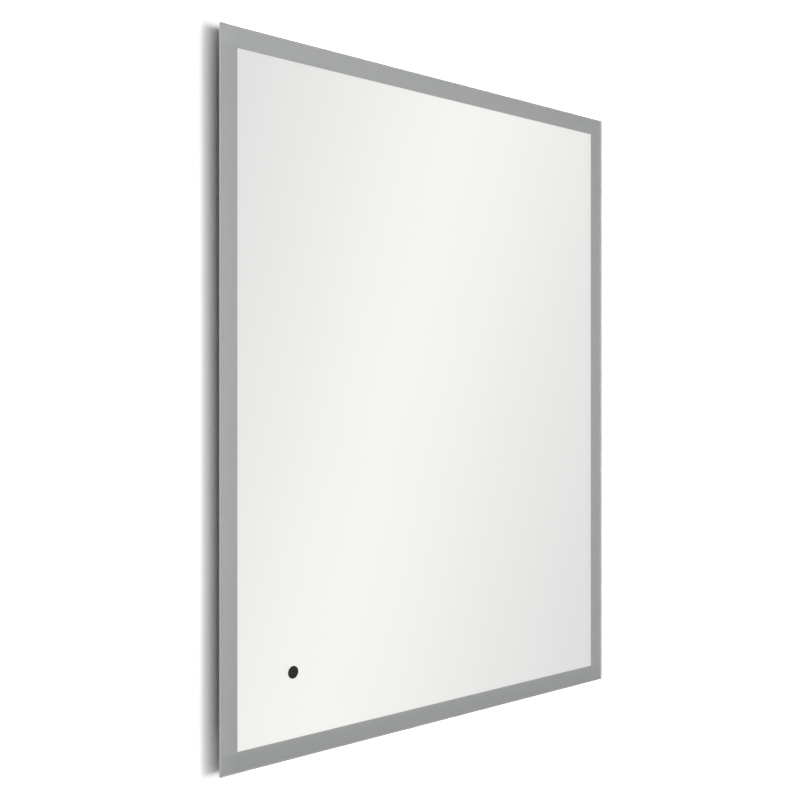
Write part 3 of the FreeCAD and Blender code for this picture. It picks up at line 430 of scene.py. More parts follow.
def threaded_shank():
    """A rod along Z with a screw thread cut into it, and a chamfer at its lower end."""
    tree, start = new_tree("threaded_shank", [
        ("Length", "Float", 0.005), ("Radius", "Float", 0.002), ("Pitch", "Float", 0.0007),
        ("Thread depth", "Float", 0.0004), ("Sides", "Int", 16), ("Rows", "Int", 60)])
    rod = add(tree, "GeometryNodeMeshCylinder", {
        "Vertices": start["Sides"], "Side Segments": start["Rows"], "Radius": start["Radius"],
        "Depth": start["Length"]}, fill_type="NGON").outputs["Mesh"]
    spot = add(tree, "GeometryNodeInputPosition").outputs[0]
    x, y, z = add(tree, "ShaderNodeSeparateXYZ", {"Vector": spot}).outputs
    part_turn = maths(tree, "DIVIDE", maths(tree, "ARCTAN2", y, x), 2 * math.pi)
    turns = maths(tree, "SUBTRACT", maths(tree, "DIVIDE", z, start["Pitch"]), part_turn)
    flank = maths(tree, "ABSOLUTE", maths(tree, "SUBTRACT", maths(tree, "FRACT", turns), 0.5))
    cut = maths(tree, "MULTIPLY", maths(tree, "SUBTRACT", 1.0, maths(tree, "MULTIPLY", flank, 2.0)),
                maths(tree, "DIVIDE", start["Thread depth"], start["Radius"]))
    above_tip = maths(tree, "ADD", z, maths(tree, "DIVIDE", start["Length"], 2.0))
    taper = add(tree, "ShaderNodeMapRange", {"Value": above_tip, "From Max": start["Pitch"], "To Min": 0.75,
                                             "To Max": 1.0}).outputs["Result"]
    share = maths(tree, "MULTIPLY", maths(tree, "SUBTRACT", 1.0, cut), taper)
    across = add(tree, "ShaderNodeCombineXYZ", {"X": share, "Y": share, "Z": 1.0}).outputs[0]
    moved = add(tree, "ShaderNodeVectorMath", {0: spot, 1: across}, operation="MULTIPLY").outputs[0]
    cut_rod = add(tree, "GeometryNodeSetPosition", {"Geometry": rod, "Position": moved}).outputs[0]
    return close_tree(tree, cut_rod, start)


def grown(name, mesh, tree, finish, **values):
    """The plain mesh that a tree grows from a mesh and its named inputs."""
    piece = new_piece(name, mesh)
    modifier = piece.modifiers.new(tree.name, "NODES")
    modifier.node_group = tree
    chosen = {key.replace("_", " "): value for key, value in values.items()}
    chosen["Finish"] = finishes[finish]
    for item in tree.interface.items_tree:
        if item.in_out == "INPUT" and item.name in chosen:
            modifier[item.identifier] = chosen[item.name]
    return settled(piece)


def points_mesh(name, points, turns=()):
    """Loose points, each with a turn of its own about Y where that is given."""
    mesh = bpy.data.meshes.new(name)
    mesh.from_pydata(points, [], [])
    if turns:
        mesh.attributes.new("turn", "FLOAT", "POINT").data.foreach_set("value", turns)
    return mesh


# Finishes

def clear_glass():
    """Clear float glass with ground edges. Its back carries the silver and the etching, so it has no
    gloss of its own there, and shadow and diffuse rays pass straight through."""
    material, tree, shader = new_material("clear_glass", Transmission_Weight=1.0, IOR=1.4, Roughness=0.0)
    waves = noise(tree, place(tree), 6.0)
    wire(tree, shader, Base_Color=blend(tree, waves, (0.975, 0.977, 0.977), (0.985, 0.987, 0.987)))
    low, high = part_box("glass_pane")
    middle = (low + high) / 2
    x, y, z = axes(tree)
    path = add(tree, "ShaderNodeLightPath")
    at_back = maths(tree, "GREATER_THAN", y, high.y - glass_back_depth)
    passing = maths(tree, "MAXIMUM", path.outputs["Is Shadow Ray"], path.outputs["Is Diffuse Ray"])
    clear = add(tree, "ShaderNodeBsdfTransparent").outputs[0]
    pane = mix_shaders(tree, maths(tree, "MAXIMUM", at_back, passing), shader.outputs[0], clear)
    ground_width = glass_edge_chamfer - skin_clearance
    beside = maths(tree, "GREATER_THAN", maths(tree, "ABSOLUTE", x), high.x - ground_width)
    rise = maths(tree, "ABSOLUTE", maths(tree, "SUBTRACT", z, middle.z))
    above = maths(tree, "GREATER_THAN", rise, high.z - middle.z - ground_width)
    ground = add(tree, "ShaderNodeBsdfPrincipled", {"Roughness": 0.35, "IOR": 1.4})
    grit = noise(tree, place(tree), 2600.0)
    # Painted light and shade: each side of the ground edge has its own tone, with the left chamfer, which
    # faces the key lamp, darker than the left side.
    chamfer_end = low.y + glass_edge_chamfer
    left_painted_tone = spread(tree, y, ground_painted_light_tones["left_chamfer"], ground_painted_light_tones["left"],
                       chamfer_end - skin_clearance, chamfer_end + skin_clearance)
    side_painted_tone = spread(tree, x, left_painted_tone, ground_painted_light_tones["right"], -skin_clearance, skin_clearance)
    tone = spread(tree, above, side_painted_tone, ground_painted_light_tones["level"], 0.0, 1.0)
    wire(tree, ground, Base_Color=maths(tree, "MULTIPLY", tone, spread(tree, grit, 0.97, 1.03)))
    relief(tree, ground, grit, 0.00001)
    unshaded = maths(tree, "SUBTRACT", 1.0, path.outputs["Is Shadow Ray"])
    edge = maths(tree, "MULTIPLY", maths(tree, "MAXIMUM", beside, above), unshaded)
    mixed = mix_shaders(tree, edge, pane, ground.outputs[0])
    tree.links.new(mixed, tree.nodes["Material Output"].inputs["Surface"])
    return material


def satin_glass():
    """Etched glass: grey, with a fine even grain. Painted light makes it lighter along the left edge and at
    the top left, and painted shade darker along the bottom. Its tone also rises to the right and, on the
    left, to the top: painted light that evens out the key lamp's falloff."""
    material, tree, shader = new_material("satin_glass", Roughness=0.55, Specular_IOR_Level=0.2)
    grain = noise(tree, place(tree), 900.0, 4.0)
    low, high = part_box("satin_border")
    inner_low, inner_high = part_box("silver_layer")
    x, _, z = axes(tree)
    # Painted light: the tone rises to the right, and to the top on the left, against the key lamp's
    # falloff.
    left_painted_level = spread(tree, z, etch_painted_light_left_tones[0], etch_painted_light_left_tones[1], low.z, high.z)
    right_painted_level = spread(tree, z, etch_painted_light_right_tones[0], etch_painted_light_right_tones[1], low.z, high.z)
    even = spread(tree, x, left_painted_level, right_painted_level, low.x, high.x)
    # Painted light along the left edge and the top, painted shade along the bottom.
    painted_left_light = spread(tree, x, etch_painted_left_edge_light, 0.0, low.x, inner_low.x)
    in_top = spread(tree, z, 0.0, 1.0, inner_high.z, inner_high.z + etch_soft_edge)
    painted_top_light = maths(tree, "MULTIPLY", in_top, spread(tree, x, etch_painted_top_light, 0.0, low.x, high.x))
    painted_bottom_shade = spread(tree, z, etch_painted_bottom_shade, 0.0, inner_low.z - etch_soft_edge, inner_low.z)
    painted_light_and_shade = maths(tree, "SUBTRACT", maths(tree, "ADD", painted_left_light, painted_top_light), painted_bottom_shade)
    level = maths(tree, "ADD", maths(tree, "ADD", even, painted_light_and_shade), spread(tree, grain, -0.03, 0.03))
    wire(tree, shader, Base_Color=blend(tree, level, etch_dark, etch_light))
    relief(tree, shader, grain, 0.00002)
    return material


def mirror_silver():
    """Silver on the back of the glass, with the slightest unevenness."""
    material, tree, shader = new_material("mirror_silver", Metallic=1.0, Roughness=0.0)
    cloud = noise(tree, place(tree), 3.0)
    wire(tree, shader, Base_Color=blend(tree, cloud, (0.945, 0.945, 0.943), (0.955, 0.955, 0.953)))
    return material


def film():
    """Milky plastic film with faint stretch lines."""
    material, tree, shader = new_material("safety_film", Roughness=0.35)
    lines = noise(tree, place(tree, (1, 1, 0.05)), 260.0)
    wire(tree, shader, Base_Color=blend(tree, lines, (0.55, 0.57, 0.60), (0.62, 0.64, 0.66)),
         Roughness=spread(tree, lines, 0.25, 0.45))
    relief(tree, shader, lines, 0.00002)
    return material


def foam_tape():
    """Closed-cell foam tape."""
    material, tree, shader = new_material("foam_tape", Roughness=0.9)
    cells = add(tree, "ShaderNodeTexVoronoi", {"Vector": place(tree), "Scale": 2600.0}).outputs["Distance"]
    wire(tree, shader, Base_Color=blend(tree, cells, (0.62, 0.62, 0.60), (0.78, 0.78, 0.76)))
    relief(tree, shader, cells, 0.00008)
    return material


def zinc_steel():
    """Zinc-plated sheet: soft spangle, fine rolling lines and rounded edges."""
    material, tree, shader = new_material("zinc_steel", Metallic=1.0)
    spangle = add(tree, "ShaderNodeTexVoronoi", {"Vector": place(tree), "Scale": 520.0}).outputs["Color"]
    flake = add(tree, "ShaderNodeSeparateColor", {"Color": spangle}).outputs["Red"]
    lines = noise(tree, place(tree, (0.04, 1, 1)), 3200.0, 2.0)
    smear = noise(tree, place(tree), 38.0)
    wire(tree, shader, Base_Color=blend(tree, flake, (0.43, 0.45, 0.48), (0.55, 0.565, 0.585)),
         Roughness=spread(tree, smear, 0.26, 0.44))
    relief(tree, shader, lines, 0.000006, 0.0003)
    return material


def screw_steel():
    """Bright plated screw steel with fine turning marks."""
    material, tree, shader = new_material("screw_steel", Metallic=1.0)
    marks = noise(tree, place(tree), 2400.0, 2.0)
    patches = noise(tree, place(tree), 220.0)
    wire(tree, shader, Base_Color=blend(tree, patches, (0.46, 0.465, 0.465), (0.60, 0.595, 0.58)),
         Roughness=spread(tree, marks, 0.18, 0.34))
    relief(tree, shader, marks, 0.000006, 0.00012)
    return material


def frame_aluminium(name, along):
    """Satin anodised extrusion, with die lines that run along the member."""
    material, tree, shader = new_material(name, Metallic=1.0)
    stretch = {"x": (0.004, 1, 1), "z": (1, 1, 0.004)}[along]
    lines = noise(tree, place(tree, stretch), 2600.0, 4.0, 0.6)
    grain = noise(tree, place(tree), 5200.0, 2.0)
    wire(tree, shader, Base_Color=blend(tree, lines, (0.66, 0.67, 0.68), (0.74, 0.75, 0.76)),
         Roughness=spread(tree, grain, 0.32, 0.42))
    relief(tree, shader, lines, 0.000010, 0.00025)
    return material


def strip_white():
    """White solder resist over the copper tracks of the light strip."""
    material, tree, shader = new_material("strip_white", Roughness=0.4)
    bands = add(tree, "ShaderNodeTexWave", {"Vector": place(tree), "Scale": 110.0, "Distortion": 0.0},
                wave_type="BANDS", bands_direction="Y").outputs["Fac"]
    wire(tree, shader, Base_Color=blend(tree, bands, (0.80, 0.80, 0.78), (0.88, 0.88, 0.87)))
    relief(tree, shader, bands, 0.00003)
    return material


def led_yellow():
    """Yellow phosphor in a white cup. The piece's faces say which of them are phosphor."""
    material, tree, shader = new_material("led_yellow", Roughness=0.35)
    grain = noise(tree, place(tree), 4200.0)
    phosphor = add(tree, "ShaderNodeAttribute", attribute_name="phosphor").outputs["Fac"]
    level = maths(tree, "MULTIPLY", phosphor, spread(tree, grain, 0.8, 1.0))
    wire(tree, shader, Base_Color=blend(tree, level, (0.82, 0.82, 0.79), (0.86, 0.66, 0.12)))
    relief(tree, shader, grain, 0.000008)
    return material


def opal():
    """Satin opal plastic."""
    material, tree, shader = new_material("opal", Subsurface_Weight=0.35, Subsurface_Scale=0.002, IOR=1.49)
    grain = noise(tree, place(tree), 2400.0, 2.0)
    cloud = noise(tree, place(tree), 22.0)
    wire(tree, shader, Base_Color=blend(tree, cloud, (0.83, 0.84, 0.83), (0.88, 0.88, 0.87)),
         Roughness=spread(tree, grain, 0.34, 0.46))
    relief(tree, shader, grain, 0.000006, 0.0003)
    return material


def painted_sheet():
    """Powder-coated sheet: pale grey orange peel with small darker flecks."""
    material, tree, shader = new_material("painted_sheet", Coat_Weight=0.15, Coat_Roughness=0.3)
    peel = noise(tree, place(tree), 620.0, 2.0)
    flecks = noise(tree, place(tree), 2600.0, 1.0)
    handling = noise(tree, place(tree), 7.0, 5.0, 0.65)
    level = spread(tree, maths(tree, "ADD", flecks, handling), 0.0, 1.0, 0.75, 1.25)
    wire(tree, shader, Base_Color=blend(tree, level, (0.655, 0.662, 0.662), (0.735, 0.74, 0.738)),
         Roughness=spread(tree, handling, 0.42, 0.58))
    relief(tree, shader, peel, 0.00006, 0.0004)
    return material


def moulded(name, dark, light, grain_scale=1900.0, depth=0.00002, **sockets):
    """Moulded plastic or rubber with a spark-eroded grain."""
    material, tree, shader = new_material(name, **sockets)
    grain = noise(tree, place(tree), grain_scale, 3.0)
    bloom = noise(tree, place(tree), 45.0)
    wire(tree, shader, Base_Color=blend(tree, bloom, dark, light),
         Roughness=spread(tree, grain, 0.42, 0.6))
    relief(tree, shader, grain, depth, 0.0003)
    return material


def circuit_board():
    """Glass-fibre board: woven base under green resist, with paler tracks."""
    material, tree, shader = new_material("circuit_board", Roughness=0.35)
    weave = add(tree, "ShaderNodeTexBrick", {"Vector": place(tree), "Scale": 420.0}).outputs["Fac"]
    cells = add(tree, "ShaderNodeTexVoronoi", {"Vector": place(tree), "Scale": 170.0},
                distance="MANHATTAN", feature="F2").outputs["Distance"]
    wire(tree, shader, Base_Color=blend(tree, cells, (0.03, 0.16, 0.07), (0.09, 0.33, 0.15)))
    relief(tree, shader, weave, 0.00002)
    return material


def ferrite():
    """Dark fired core with a fine grain, and amber tape round its coil."""
    material, tree, shader = new_material("ferrite", Roughness=0.6)
    grain = noise(tree, place(tree), 3000.0)
    wraps = add(tree, "ShaderNodeTexWave", {"Vector": place(tree), "Scale": 300.0},
                bands_direction="X").outputs["Fac"]
    wire(tree, shader, Base_Color=blend(tree, grain, (0.05, 0.05, 0.055), (0.10, 0.095, 0.09)))
    relief(tree, shader, wraps, 0.00003)
    return material


def capacitor_can():
    """Sleeved can with a brushed end."""
    material, tree, shader = new_material("capacitor_can", Roughness=0.3)
    rings = add(tree, "ShaderNodeTexWave", {"Vector": place(tree), "Scale": 90.0},
                bands_direction="X").outputs["Fac"]
    wire(tree, shader, Base_Color=blend(tree, rings, (0.03, 0.035, 0.06), (0.07, 0.08, 0.12)))
    relief(tree, shader, rings, 0.00002)
    return material


def terminal_brass():
    """Nickel-flashed brass."""
    material, tree, shader = new_material("terminal_brass", Metallic=1.0)
    marks = noise(tree, place(tree), 1500.0)
    wire(tree, shader, Base_Color=blend(tree, marks, (0.70, 0.56, 0.28), (0.82, 0.68, 0.38)),
         Roughness=spread(tree, marks, 0.2, 0.4))
    relief(tree, shader, marks, 0.00001)
    return material


def dark_lens():
    """Near-black infrared window."""
    material, tree, shader = new_material("dark_lens", Roughness=0.2, Specular_IOR_Level=0.0)
    depth = noise(tree, place(tree), 300.0)
    wire(tree, shader, Base_Color=blend(tree, depth, (0.0010, 0.0010, 0.0010), (0.0020, 0.0018, 0.0018)))
    return material


finishes = {
    "clear_glass": clear_glass(),
    "satin_glass": satin_glass(),
    "silver": mirror_silver(),
    "safety_film": film(),
    "foam_tape": foam_tape(),
    "zinc_steel": zinc_steel(),
    "screw_steel": screw_steel(),
    "frame_level": frame_aluminium("frame_level", "x"),
    "frame_upright": frame_aluminium("frame_upright", "z"),
    "strip_white": strip_white(),
    "led_yellow": led_yellow(),
    "opal": opal(),
    "painted_sheet": painted_sheet(),
    "driver_plastic": moulded("driver_plastic", (0.70, 0.71, 0.70), (0.78, 0.78, 0.77), IOR=1.5),
    "grey_plastic": moulded("grey_plastic", (0.34, 0.35, 0.36), (0.40, 0.41, 0.42), IOR=1.5),
    "terminal_plastic": moulded("terminal_plastic", (0.74, 0.73, 0.68), (0.82, 0.81, 0.77), IOR=1.5),
    "black_plastic": moulded("black_plastic", (0.018, 0.018, 0.019), (0.03, 0.03, 0.031), IOR=1.5),
    "black_rubber": moulded("black_rubber", (0.016, 0.016, 0.016), (0.034, 0.033, 0.032), 1300.0, 0.00005),
    "lead_white": moulded("lead_white", (0.70, 0.70, 0.69), (0.78, 0.78, 0.77), 900.0),
    "lead_black": moulded("lead_black", (0.02, 0.02, 0.021), (0.035, 0.035, 0.036), 900.0),
    "circuit_board": circuit_board(),
    "ferrite": ferrite(),
    "capacitor_can": capacitor_can(),
    "terminal_brass": terminal_brass(),
    "dark_lens": dark_lens(),
}


def dress_nodes():
    """Every carried node takes the finish of its slot. The frame's die lines run along each member."""
    for row in frame["record"]["subparts"]:
        node, slot = row["node"], row["material_slot"]
        if slot == "frame_aluminium":
            slot = "frame_level" if node in ("frame_top", "frame_bottom") else "frame_upright"
        nodes[node].material_slots[0].material = finishes[slot]


# Camera and stage

def set_camera():
    """The photograph's view: level, at the height of the mirror's middle."""
    lens = bpy.data.cameras.new("camera")
    lens.lens = camera_lens
    lens.sensor_width = camera_sensor
    camera = bpy.data.objects.new("camera", lens)
    scene.collection.objects.link(camera)
    camera.location = camera_place
    camera.rotation_euler = (math.pi / 2, 0, camera_turn)
    scene.camera = camera


def one_sided(name, strip_shade_tone, far_tone):
    """Matt paint that lets the camera through from behind, so that no view of the object is barred.
    Its tone is the strip shade tone round the shadow strip, a painted shade where it is darker than the far
    tone, and the far one away from it."""
    material = bpy.data.materials.new(name)
    material.use_nodes = True
    tree = material.node_tree
    tree.nodes.remove(tree.nodes["Principled BSDF"])
    x, _, z = axes(tree)
    aside = maths(tree, "ABSOLUTE", maths(tree, "SUBTRACT", x, shadow_strip_x))
    above = maths(tree, "ABSOLUTE", maths(tree, "SUBTRACT", z, key_place.z))
    # Painted shade: the darker strip tone round the shadow strip, the far tone away from it.
    far = maths(tree, "MAXIMUM", spread(tree, aside, 0.0, 1.0, *shadow_strip_reach),
                spread(tree, above, 0.0, 1.0, *shadow_strip_rise))
    tone = blend(tree, far, (strip_shade_tone,) * 3, (far_tone,) * 3)
    paint = add(tree, "ShaderNodeBsdfDiffuse", {"Color": tone}).outputs[0]
    clear = add(tree, "ShaderNodeBsdfTransparent").outputs[0]
    back = add(tree, "ShaderNodeNewGeometry").outputs["Backfacing"]
    mixed = mix_shaders(tree, back, paint, clear)
    tree.links.new(mixed, tree.nodes["Material Output"].inputs["Surface"])
    return material


def sheet(name, corners, material):
    """One flat sheet of the stage."""
    mesh = bpy.data.meshes.new(name)
    mesh.from_pydata(corners, [], [(0, 1, 2, 3)])
    piece = new_piece(name, mesh)
    mesh.materials.append(material)
    return piece


def floor_paint():
    """Pale matt floor that shows nearly white and keeps soft shadows. It can't be seen from below."""
    material = one_sided("floor_paint", floor_tone, floor_tone)
    tree = material.node_tree
    output = tree.nodes["Material Output"].inputs["Surface"]
    painted = output.links[0].from_socket
    white = add(tree, "ShaderNodeEmission", {"Strength": 1.0}).outputs[0]
    seen = add(tree, "ShaderNodeLightPath").outputs["Is Camera Ray"]
    above = maths(tree, "SUBTRACT", 1.0, add(tree, "ShaderNodeNewGeometry").outputs["Backfacing"])
    share = maths(tree, "MULTIPLY", maths(tree, "MULTIPLY", seen, above), floor_whiteness)
    tree.links.new(mix_shaders(tree, share, painted, white), output)
    return material


def set_stage():
    """A wall that only the camera sees, and a pale floor."""
    half = wall_width / 2
    # The wall's paint carries a painted shade in the shadow strip.
    wall = sheet("wall", [(-half, 0, floor_height), (half, 0, floor_height), (half, 0, wall_top),
                          (-half, 0, wall_top)], one_sided("wall_paint", wall_painted_shade_tone, far_wall_tone))
    hide_from(wall, "diffuse", "glossy", "transmission", "shadow")
    floor = sheet("floor", [(-half, -floor_depth, floor_height), (half, -floor_depth, floor_height),
                            (half, floor_depth, floor_height), (-half, floor_depth, floor_height)],
                  floor_paint())
    hide_from(floor, "glossy", "transmission")


# Light

def set_world():
    """White to the camera. Mirror and glass show a pale room whose brightest band leans a little.
    All else is lit by an even ambient light."""
    world = bpy.data.worlds.new("studio")
    scene.world = world
    world.use_nodes = True
    tree = world.node_tree
    tree.nodes.clear()
    ahead = Vector((-math.sin(camera_turn), -math.cos(camera_turn), 0))
    aside = Vector((math.cos(camera_turn), -math.sin(camera_turn), 0))
    across = (aside - Vector((0, 0, 1)) * ridge_lean + ahead * ridge_shift).normalized()
    way = add(tree, "ShaderNodeTexCoord").outputs["Generated"]
    far = add(tree, "ShaderNodeVectorMath", {0: way, 1: across}, operation="DOT_PRODUCT").outputs["Value"]
    room = add(tree, "ShaderNodeValToRGB", {"Fac": maths(tree, "ABSOLUTE", far)})
    fill_ramp(room.color_ramp, room_tones)
    path = add(tree, "ShaderNodeLightPath")
    seen = add(tree, "ShaderNodeMix", data_type="RGBA")
    tree.links.new(path.outputs["Is Camera Ray"], seen.inputs["Factor"])
    tree.links.new(room.outputs["Color"], seen.inputs["A"])
    seen.inputs["B"].default_value = (1, 1, 1, 1)
    shown = add(tree, "ShaderNodeBackground", {"Color": seen.outputs["Result"], "Strength": room_peak})
    world.cycles.sampling_method = "NONE"
    near = maths(tree, "LESS_THAN", path.outputs["Diffuse Depth"], one_bounce)
    straight = maths(tree, "LESS_THAN", path.outputs["Diffuse Depth"], no_bounce)
    strength = maths(tree, "MULTIPLY", near, ambient_strength)
    ambient = add(tree, "ShaderNodeBackground", {"Color": (1, 1, 1, 1), "Strength": strength})
    shows = maths(tree, "MAXIMUM", path.outputs["Is Camera Ray"], path.outputs["Is Glossy Ray"])
    shows = maths(tree, "MAXIMUM", shows, path.outputs["Is Transmission Ray"])
    shows = maths(tree, "MULTIPLY", shows, straight)
    mixed = mix_shaders(tree, shows, ambient.outputs[0], shown.outputs[0])
    output = add(tree, "ShaderNodeOutputWorld")
    tree.links.new(mixed, output.inputs["Surface"])


def fill_ramp(ramp, tones):
    """A soft ramp through (place, red, green, blue) tones."""
    ramp.interpolation = "B_SPLINE"
    while len(ramp.elements) < len(tones):
        ramp.elements.new(1.0)
    for element, (spot, *colour) in zip(ramp.elements, tones):
        element.position = spot
        element.color = (*colour, 1.0)


def area_lamp(name, spot, target, size, power):
    """A soft rectangular lamp that is itself never seen."""
    light = bpy.data.lights.new(name, "AREA")
    light.shape = "RECTANGLE"
    light.size, light.size_y = size
    light.energy = power
    lamp = bpy.data.objects.new(name, light)
    scene.collection.objects.link(lamp)
    lamp.location = spot
    lamp.rotation_euler = (target - spot).to_track_quat("-Z", "Y").to_euler()
    hide_from(lamp, "glossy", "transmission", "camera")
    return lamp


def light_directly(light):
    """Leaves out the light that a lamp would send on to the wall from the mirror's back."""
    light.use_nodes = True
    tree = light.node_tree
    emission = tree.nodes["Emission"]
    path = add(tree, "ShaderNodeLightPath")
    straight = maths(tree, "LESS_THAN", path.outputs["Diffuse Depth"], no_bounce)
    tree.links.new(straight, emission.inputs["Strength"])


def set_lamps():
    """A key and a fill lamp before the mirror, and two lamps behind it for views of its back."""
    low, high = cad_box
    middle = (Vector(low) + Vector(high)) / 2
    area_lamp("key_lamp", key_place, Vector((key_place.x, 0, key_place.z)), key_size, key_power)
    area_lamp("fill_lamp", fill_place, middle, fill_size, fill_power)
    for side, spot in back_lamp_places.items():
        lamp = area_lamp("back_lamp_" + side, spot, middle, back_lamp_size, back_lamp_power)
        light_directly(lamp.data)


# Pieces that stand for carried nodes

def seat(name, mesh, body, node, finish):
    """Puts a finished mesh on its body in place of a CAD node, with one finish on all its faces."""
    piece = new_piece(name, mesh)
    mesh.materials.clear()
    mesh.materials.append(finishes[finish])
    mesh.polygons.foreach_set("material_index", [0] * len(mesh.polygons))
    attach(piece, body)
    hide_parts(node)


# Skins on the back of the glass

def skin(name, node, outline, hole, finish):
    """A thin skin that stands for a CAD one, a hair clear of the glass and of the film."""
    low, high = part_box(node)
    front = low.y + skin_clearance
    back = high.y - skin_clearance
    mesh = mesh_from(name, lambda work: cut_plate(work, outline, hole, front, back))
    seat(name, mesh, "mirror", node, finish)


def make_skins():
    """The etched border, and the silver inside it with a round hole before the sensor."""
    border_low, border_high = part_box("satin_border")
    silver_low, silver_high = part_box("silver_layer")
    gasket_low, gasket_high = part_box("sensor_gasket")
    eye = (gasket_low + gasket_high) / 2
    outer = rectangle(border_low.x, border_high.x, border_low.z, border_high.z)
    inner = rectangle(silver_low.x, silver_high.x, silver_low.z, silver_high.z)
    skin("satin_skin", "satin_border", outer, inner, "satin_glass")
    hole = circle(eye.x, eye.z, lens_hole_radius, lens_hole_segments)
    skin("silver_skin", "silver_layer", inner, hole, "silver")


# Screws, bumpers and the rubber grommet

def cross(half_length, half_width, y):
    """The twelve corners of a cross."""
    a, b = half_length, half_width
    return [(x, y, z) for x, z in ((a, -b), (a, b), (b, b), (b, a), (-b, a), (-b, b), (-a, b), (-a, -b),
                                   (-b, -b), (-b, -a), (b, -a), (b, -b))]


def lofted(work, *rings):
    """A closed solid through rings of equally many corners."""
    rows = [[work.verts.new(corner) for corner in ring] for ring in rings]
    for low, high in zip(rows, rows[1:]):
        for index in range(len(low)):
            after = (index + 1) % len(low)
            work.faces.new((low[index], low[after], high[after], high[index]))
    work.faces.new(rows[0])
    work.faces.new(rows[-1])


def pan_head(head_height):
    """A pan head with its seat at y = 0, domed towards the wall, with a cross recess."""
    radius = screw_head_radius
    side = head_height * pan_head_shares["side"]
    dome = [(radius * math.cos(math.radians(angle)),
             side + (head_height - side) * math.sin(math.radians(angle))) for angle in (15, 30, 45, 60, 75)]
    profile = [(0, 0), (radius * pan_head_shares["seat"], 0), (radius, side * pan_head_shares["edge"]),
               (radius, side)] + dome + [(0, head_height)]
    head = mesh_from("pan_head", lambda work: turned(work, profile, screw_head_segments))
    mouth, floor = ([radius * share for share in cross_shares[level]] for level in ("mouth", "floor"))
    rings = (cross(*mouth, head_height * cross_shares["cutter"]),
             cross(*floor, head_height - screw_recess_depth))
    return cut_away("pan_head", head, mesh_from("cross", lambda work: lofted(work, *rings)))


def thread(length, radius, values, turn, shift):
    """A threaded rod of one length, turned and then moved into place."""
    rows = round(length / values["Pitch"] * thread_rows_per_turn)
    mesh = grown("thread", points_mesh("thread_start", []), trees["threaded_shank"], "screw_steel",
                 Length=length, Radius=radius, Rows=rows, **values)
    mesh.transform(Matrix.Translation(shift) @ turn)
    return mesh


def joined(name, meshes):
    """Several closed meshes as one mesh, smooth but for its edges."""
    work = bmesh.new()
    for mesh in meshes:
        work.from_mesh(mesh)
    mesh = bpy.data.meshes.new(name)
    work.to_mesh(mesh)
    work.free()
    smooth_by_angle(mesh)
    return mesh


def put_copies(name, mesh, points, node, finish, turns=(), most_turn=0.0):
    """One shape at each of the points, as one piece on the mirror."""
    pattern = new_piece(name + "_pattern", mesh)
    copies = grown(name, points_mesh(name + "_points", points, turns), trees["placed_copies"], finish,
                   Shape=pattern, Most_turn=most_turn)
    bpy.data.objects.remove(pattern)
    seat(name, copies, "mirror", node, finish)


def screw_places():
    """Where the pan screws stand, by node, as x and z. The outer screws come from each node's own box,
    and the named steps and places give those between them."""
    cover_low, cover_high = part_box("cover_screws")
    reach = Vector((screw_head_radius, 0, screw_head_radius))
    low, high = cover_low + reach, cover_high - reach
    middle_z = (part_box("glass_pane")[0].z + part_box("glass_pane")[1].z) / 2
    cover = [(side * x, z) for side in (-1, 1) for x, z in
             [(cover_top_screw_x, high.z), (cover_bottom_screw_x, low.z)]
             + [(high.x, middle_z + step) for step in (-cover_side_screw_step, 0, cover_side_screw_step)]]
    places = {"cover_screws": cover}
    for node, columns in (("driver_screws", 1), ("hanger_screws", 2), ("access_lid_screws", 1)):
        low, high = (corner + sign * reach for corner, sign in zip(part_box(node), (1, -1)))
        steps = [index * hanger_screw_step for index in range(columns)]
        xs = [low.x + step for step in steps] + [high.x - step for step in steps]
        zs = [low.z] if high.z - low.z < screw_head_radius else [low.z, high.z]
        places[node] = [(x, z) for x in xs for z in zs]
    return places


def cover_screw_head():
    """How high a pan head stands on the cover's back."""
    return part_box("cover_screws")[1].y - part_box("back_cover")[1].y


def make_screws():
    """Every pan screw, its head on what it holds and its thread towards the glass."""
    head_height = cover_screw_head()
    for node, places in screw_places().items():
        low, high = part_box(node)
        shank = high.y - low.y - head_height
        rod = thread(shank, screw_shank_radius, screw_thread, Matrix.Rotation(-math.pi / 2, 4, "X"),
                     (0, -shank / 2, 0))
        points = [(x, high.y - head_height, z) for x, z in places]
        put_copies(node + "_driven", joined("screw", [pan_head(head_height), rod]), points, node,
                   "screw_steel", most_turn=math.pi / 2)


def make_adjusters():
    """The two levelling screws: a slotted cheese head on a long fine thread."""
    for side in ("left", "right"):
        name, node = "levelling_screw_" + side, "adjuster_screw_" + side
        low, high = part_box(node)
        spot = (low + high) / 2
        radius = (high.x - low.x) / 2
        top, edge = adjuster_head_height, radius * adjuster_edge_share
        profile = [(0, 0), (radius, 0), (radius, top - edge), (radius - edge, top), (0, top)]
        plain = mesh_from("cheese_head", lambda work: turned(work, profile))
        reach, half = radius * adjuster_slot_cutter_share, adjuster_slot_width / 2
        rings = [[(x, y, z) for x, z in rectangle(-reach, reach, -half, half)]
                 for y in (top / 2, top * adjuster_slot_cutter_share)]
        head = cut_away("cheese_head", plain, mesh_from("slot", lambda work: lofted(work, *rings)))
        head.transform(Matrix.Translation((spot.x, spot.y, high.z - top))
                       @ Matrix.Rotation(math.pi / 2, 4, "X"))
        length = high.z - top - low.z
        rod = thread(length, adjuster_shank_radius, adjuster_thread, Matrix.Identity(4),
                     (spot.x, spot.y, low.z + length / 2))
        seat(name, joined(name, [head, rod]), side + "_adjuster", node, "screw_steel")


